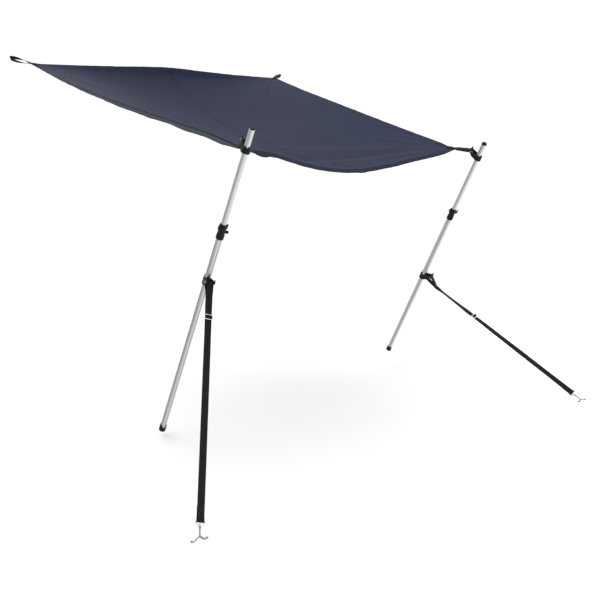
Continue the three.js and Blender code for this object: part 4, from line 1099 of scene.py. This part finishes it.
def smooth_path(stations, count):
    """A curve through stations (x, y), as points with z at 0."""
    stations = [vec((*s, 0)) for s in stations]
    padded = [2 * stations[0] - stations[1]] + stations + [2 * stations[-1] - stations[-2]]
    made = []
    for i in range(1, len(padded) - 2):
        a, b, c, d = padded[i - 1:i + 3]
        for t in np.linspace(0, 1, count, endpoint=False):
            made.append(0.5 * (2 * b + (c - a) * t + (2 * a - 5 * b + 4 * c - d) * t**2
                               + (3 * b - a - 3 * c + d) * t**3))
    made.append(stations[-1])
    return made


def ball(centre, radius, squeeze=1.0, sides=16, rings=10):
    """Points and faces of a ball, squeezed along X."""
    points = []
    for j in range(rings + 1):
        tilt = math.pi * (0.5 / rings + j * (rings - 1) / rings / rings)
        for angle in np.arange(sides) / sides * 2 * math.pi:
            x, y = math.sin(tilt) * math.cos(angle) * squeeze, math.sin(tilt) * math.sin(angle)
            points.append(vec(centre) + vec((x, y, math.cos(tilt))) * radius)
    return points, ring_faces(rings + 1, sides)


def lathe_y(profile, sides=32):
    """A turned shape about the Y axis, from (radius, y) rows."""
    points = [vec((r * math.cos(angle), y, r * math.sin(angle)))
              for r, y in profile for angle in np.arange(sides) / sides * 2 * math.pi]
    return points, ring_faces(len(profile), sides)


def gathered(shapes):
    points, faces = [], []
    for some, rows in shapes:
        first = len(points)
        points.extend(some)
        faces.extend(tuple(first + k for k in row) for row in rows)
    return points, faces


def build_hook(side):
    """The hook with its swivel, and its lighter arm."""
    strap = TieStrap(side)
    across = strap.turned(strap.long)[0]
    origin = strap.place(strap.long, -WEB_LAYER / 2, 0)
    normal = np.cross(across, strap.way)
    handed = -1 if side == "left" else 1
    turn = math.radians(HOOK_TURN[side])
    aside = across * math.cos(turn) + normal * math.sin(turn)
    forth = normal * math.cos(turn) - across * math.sin(turn)
    boss = RING_HIGH - RING_BAR / 2
    below = boss + HOOK_BELOW
    foot = below + HOOK_STEM
    swivel = [(r, at + y) for at, rows in zip((boss, below, foot), HOOK_SWIVEL) for r, y in rows]
    for name, node, line, (thick, thin), balls in HOOK_ARMS:
        way = smooth_path([(x * handed, foot + y) for x, y in line], 7)
        shapes = [tube_along(way, np.linspace(thick, thin, len(way)))]
        shapes += [ball((x * handed, foot + y, 0), r, squeeze) for x, y, r, squeeze in balls]
        if node == "hook":
            shapes.append(lathe_y(swivel))
        points, faces = gathered(shapes)
        points = [origin + aside * x + strap.way * y + forth * z for x, y, z in points]
        piece = mesh_piece(f"{name}_{side}", points, faces, sharp=HOOK_SHARP)
        give(piece, "steel", "steel", f"{node}_{side}")


# Settings in the sidebar
class ShadeCloth(bpy.types.PropertyGroup):
    colour: bpy.props.FloatVectorProperty(
        name="Cloth colour", description="Colour of the cloth", subtype="COLOR", min=0, max=1,
        default=(0.0250, 0.0310, 0.0605))
    # Painted light: the border is drawn in this paler colour, standing for the light that it catches
    border_lit_colour: bpy.props.FloatVectorProperty(
        name="Border colour", description="Colour of the turned-down border", subtype="COLOR", min=0, max=1,
        default=(0.088, 0.097, 0.120))
    thread_colour: bpy.props.FloatVectorProperty(
        name="Thread colour", description="Colour of the stitches in the cloth", subtype="COLOR", min=0,
        max=1, default=(0.022, 0.024, 0.040))
    thread: bpy.props.FloatProperty(
        name="Weave pitch", description="Distance between threads of the weave", default=0.0011, min=0.0003,
        max=0.01, unit="LENGTH", precision=4)
    folds: bpy.props.FloatProperty(
        name="Folds", description="Strength of the creases and puckers", default=1.0, min=0, max=2)


class ShadeWebbing(bpy.types.PropertyGroup):
    colour: bpy.props.FloatVectorProperty(
        name="Webbing colour", description="Colour of the straps and loops", subtype="COLOR", min=0, max=1,
        default=(0.0105, 0.0108, 0.0118))


class ShadePoles(bpy.types.PropertyGroup):
    tube_colour: bpy.props.FloatVectorProperty(
        name="Tube colour", description="Colour of the aluminium tubes", subtype="COLOR", min=0, max=1,
        default=(0.66, 0.67, 0.67))
    fitting_colour: bpy.props.FloatVectorProperty(
        name="Fitting colour", description="Colour of clamps, collars and caps", subtype="COLOR", min=0,
        max=1, default=(0.010, 0.012, 0.0125))
    rounding: bpy.props.FloatProperty(
        name="Edge rounding", description="Radius on the edges of the fittings", default=0.0005, min=0.0001,
        max=0.002, unit="LENGTH", precision=4)


class ShadeStage(bpy.types.PropertyGroup):
    floor: bpy.props.FloatProperty(
        name="Floor height", description="Height of the floor", default=-1.562, unit="LENGTH")
    key: bpy.props.FloatProperty(
        name="Key light", description="Power of the large soft light", default=70.0, min=0, unit="POWER")
    sky: bpy.props.FloatProperty(
        name="Surroundings", description="Brightness of the surroundings", default=1.3, min=0)
    room_dim: bpy.props.FloatProperty(
        name="Dim side", description="What the metal mirrors on the dim side", default=0.42, min=0)
    room_bright: bpy.props.FloatProperty(
        name="Bright side", description="What the metal mirrors on the bright side", default=1.35, min=0)


class SHADE_OT_cloth(bpy.types.Operator):
    """Build the cloth with its hems, seam and folds."""

    bl_idname = "shade.cloth"
    bl_label = "Cloth"

    def execute(self, context):
        sizes = context.scene.shade_cloth
        piece = build_cloth(sizes)
        rows = stitched("canopy_stitches", hem_lines(sizes.folds), "navy thread", "cloth", CLOTH_STITCH)
        return {"FINISHED"}


class SHADE_OT_webbing(bpy.types.Operator):
    """Build the corner loops, corner straps and tie-down straps."""

    bl_idname = "shade.webbing"
    bl_label = "Webbing"

    def execute(self, context):
        for side in SIDES:
            build_rear_loop(side)
            build_corner_strap(side)
            build_tie_strap(side)
        return {"FINISHED"}


class SHADE_OT_poles(bpy.types.Operator):
    """Build the telescopic tubes of both poles."""

    bl_idname = "shade.poles"
    bl_label = "Poles"

    def execute(self, context):
        joint = POLE_LONG - CLAMP_BELOW
        for side in SIDES:
            top = POLE_LONG - (DOME_HIGH / 2 if side == "right" else 0)
            tube_piece(f"inner_pole_{side}", side, "upper_tube", lambda angle: UPPER_R, UPPER_R - WALL,
                       joint - OVERLAP, top)
            tube_piece(f"outer_pole_{side}", side, "lower_tube", grooved, LOWER_BORE, FOOT_FLOOR + RUN,
                       joint - JOINT_GAP)
        return {"FINISHED"}


class SHADE_OT_fittings(bpy.types.Operator):
    """Finish the clamps, collars, caps, levers and knobs."""

    bl_idname = "shade.fittings"
    bl_label = "Clamps and caps"

    def execute(self, context):
        width = context.scene.shade_poles.rounding / MM
        for side in SIDES:
            for node in MOULDED:
                finished_copy(f"{node}_part_{side}", f"{node}_{side}", "plastic", "fittings", width)
        plug = finished_copy("top_plug_part", "top_plug_left", "plug", "fittings", width)
        end = Fitting("left", 0, vec(ARM["left"]))
        for vertex in plug.data.vertices:
            if (vec(vertex.co) / MM - end.centre) @ end.z > -PLUG_SINK - 1.5:
                vertex.co = vec(vertex.co) + end.z * (PLUG_SINK + PLUG_PROUD) * MM
        finished_copy("top_cap_part", "top_cap_right", "plastic", "fittings", width)
        return {"FINISHED"}


class SHADE_OT_metal(bpy.types.Operator):
    """Build the pins, sliders, rings and hooks."""

    bl_idname = "shade.metal"
    bl_label = "Metal pieces"

    def execute(self, context):
        for side in SIDES:
            for node, finish in METAL.items():
                finished_copy(f"{node}_part_{side}", f"{node}_{side}", finish, "steel", METAL_ROUNDING)
            build_hook(side)
        return {"FINISHED"}


def surroundings(settings):
    """A white world, with a room that only the metal mirrors."""
    world = bpy.data.worlds.new("surroundings")
    world.use_nodes = True
    t = Tree(world.node_tree)
    white = (1, 1, 1, 1)

    def facing(*direction):
        point = t.node("ShaderNodeTexCoord").outputs["Generated"]
        made = t.node("ShaderNodeVectorMath", {0: point, 1: direction}, operation="DOT_PRODUCT")
        return made.outputs["Value"]

    def shone(strength):
        return t.node("ShaderNodeBackground", {"Color": white, "Strength": strength}).outputs[0]

    def either(share, first, second):
        return t.node("ShaderNodeMixShader", {"Fac": share, 1: first, 2: second}).outputs[0]

    # The room is dim on one side and in front, and white behind
    above = t.math("MAXIMUM", facing(0, 0.55, 0.83), 0.0)
    sky = t.plus(t.times(above, 1.25), 0.3)
    lighting = t.tree.nodes["Background"]
    t.fill(lighting, {"Color": white, "Strength": t.times(sky, settings.sky)})
    side = t.math("MULTIPLY_ADD", facing(0.7875, -0.6163, 0), 0.5, 0.5, clamp=True)
    room = t.plus(t.times(side, settings.room_bright - settings.room_dim), settings.room_dim)
    behind = t.math("MULTIPLY_ADD", facing(0.6163, 0.7875, 0), 1.4, -0.1, clamp=True)
    mirrored = t.plus(t.times(room, t.math("SUBTRACT", 1.0, behind)), behind)
    ray = t.node("ShaderNodeLightPath").outputs
    by_mirror = either(ray["Is Glossy Ray"], lighting.outputs[0], shone(mirrored))
    by_camera = either(ray["Is Camera Ray"], by_mirror, shone(1.05))
    t.fill(t.tree.nodes["World Output"], {"Surface": by_camera})
    return world


class SHADE_OT_stage(bpy.types.Operator):
    """Set the camera, the floor and the lights."""

    bl_idname = "shade.stage"
    bl_label = "Stage"

    def execute(self, context):
        scene = context.scene
        settings = scene.shade_stage
        camera = bpy.data.cameras.new("camera")
        camera.sensor_width = SENSOR
        camera.lens = FOCAL_PIXELS / PICTURE_PIXELS * SENSOR
        camera.clip_end = 100.0
        scene.camera = linked("camera", camera)
        scene.camera.location = CAMERA_AT
        scene.camera.rotation_euler = Vector(CAMERA_WAY).to_track_quat("-Z", "Y").to_euler()
        mesh = bpy.data.meshes.new("floor")
        angles = [2 * math.pi * k / FLOOR_SIDES for k in range(FLOOR_SIDES)]
        rim = [(FLOOR_R * math.cos(angle), FLOOR_MIDDLE + FLOOR_R * math.sin(angle), settings.floor)
               for angle in angles]
        mesh.from_pydata(rim, [], [tuple(range(FLOOR_SIDES))])
        mesh.materials.append(floor_material())
        floor = linked("floor", mesh)
        floor.visible_glossy = False
        for name, place, target, size, share in LIGHTS:
            light = bpy.data.lights.new(name, "AREA")
            light.energy = settings.key * share
            light.size = size
            lamp = linked(name, light)
            lamp.location = place
            lamp.rotation_euler = (Vector(target) - Vector(place)).to_track_quat("-Z", "Y").to_euler()
        scene.world = surroundings(settings)
        scene.view_settings.view_transform = "Standard"
        return {"FINISHED"}


class SHADE_PT_panel(bpy.types.Panel):
    """The shade's pieces and settings."""

    bl_idname = "SHADE_PT_panel"
    bl_label = "Boat shade"
    bl_space_type = "VIEW_3D"
    bl_region_type = "UI"
    bl_category = "Shade"

    def draw(self, context):
        for operator in OPERATORS:
            self.layout.operator(operator.bl_idname)
        for name in GROUPS:
            settings = getattr(context.scene, name)
            box = self.layout.box()
            for key in settings.bl_rna.properties.keys():
                if key not in ("rna_type", "name"):
                    box.prop(settings, key)


GROUPS = {"shade_cloth": ShadeCloth, "shade_webbing": ShadeWebbing, "shade_poles": ShadePoles,
          "shade_stage": ShadeStage}
OPERATORS = (SHADE_OT_stage, SHADE_OT_cloth, SHADE_OT_webbing, SHADE_OT_poles, SHADE_OT_fittings,
             SHADE_OT_metal)


def register():
    for group in GROUPS.values():
        bpy.utils.register_class(group)
    for name, group in GROUPS.items():
        setattr(bpy.types.Scene, name, bpy.props.PointerProperty(type=group))
    for operator in OPERATORS:
        bpy.utils.register_class(operator)
    bpy.utils.register_class(SHADE_PT_panel)


def unregister():
    bpy.utils.unregister_class(SHADE_PT_panel)
    for operator in reversed(OPERATORS):
        bpy.utils.unregister_class(operator)
    for name, group in GROUPS.items():
        delattr(bpy.types.Scene, name)
        bpy.utils.unregister_class(group)


def main():
    register()
    for operator in OPERATORS:
        group, name = operator.bl_idname.split(".")
        getattr(getattr(bpy.ops, group), name)()
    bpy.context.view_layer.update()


if __name__ == "__main__":
    main()
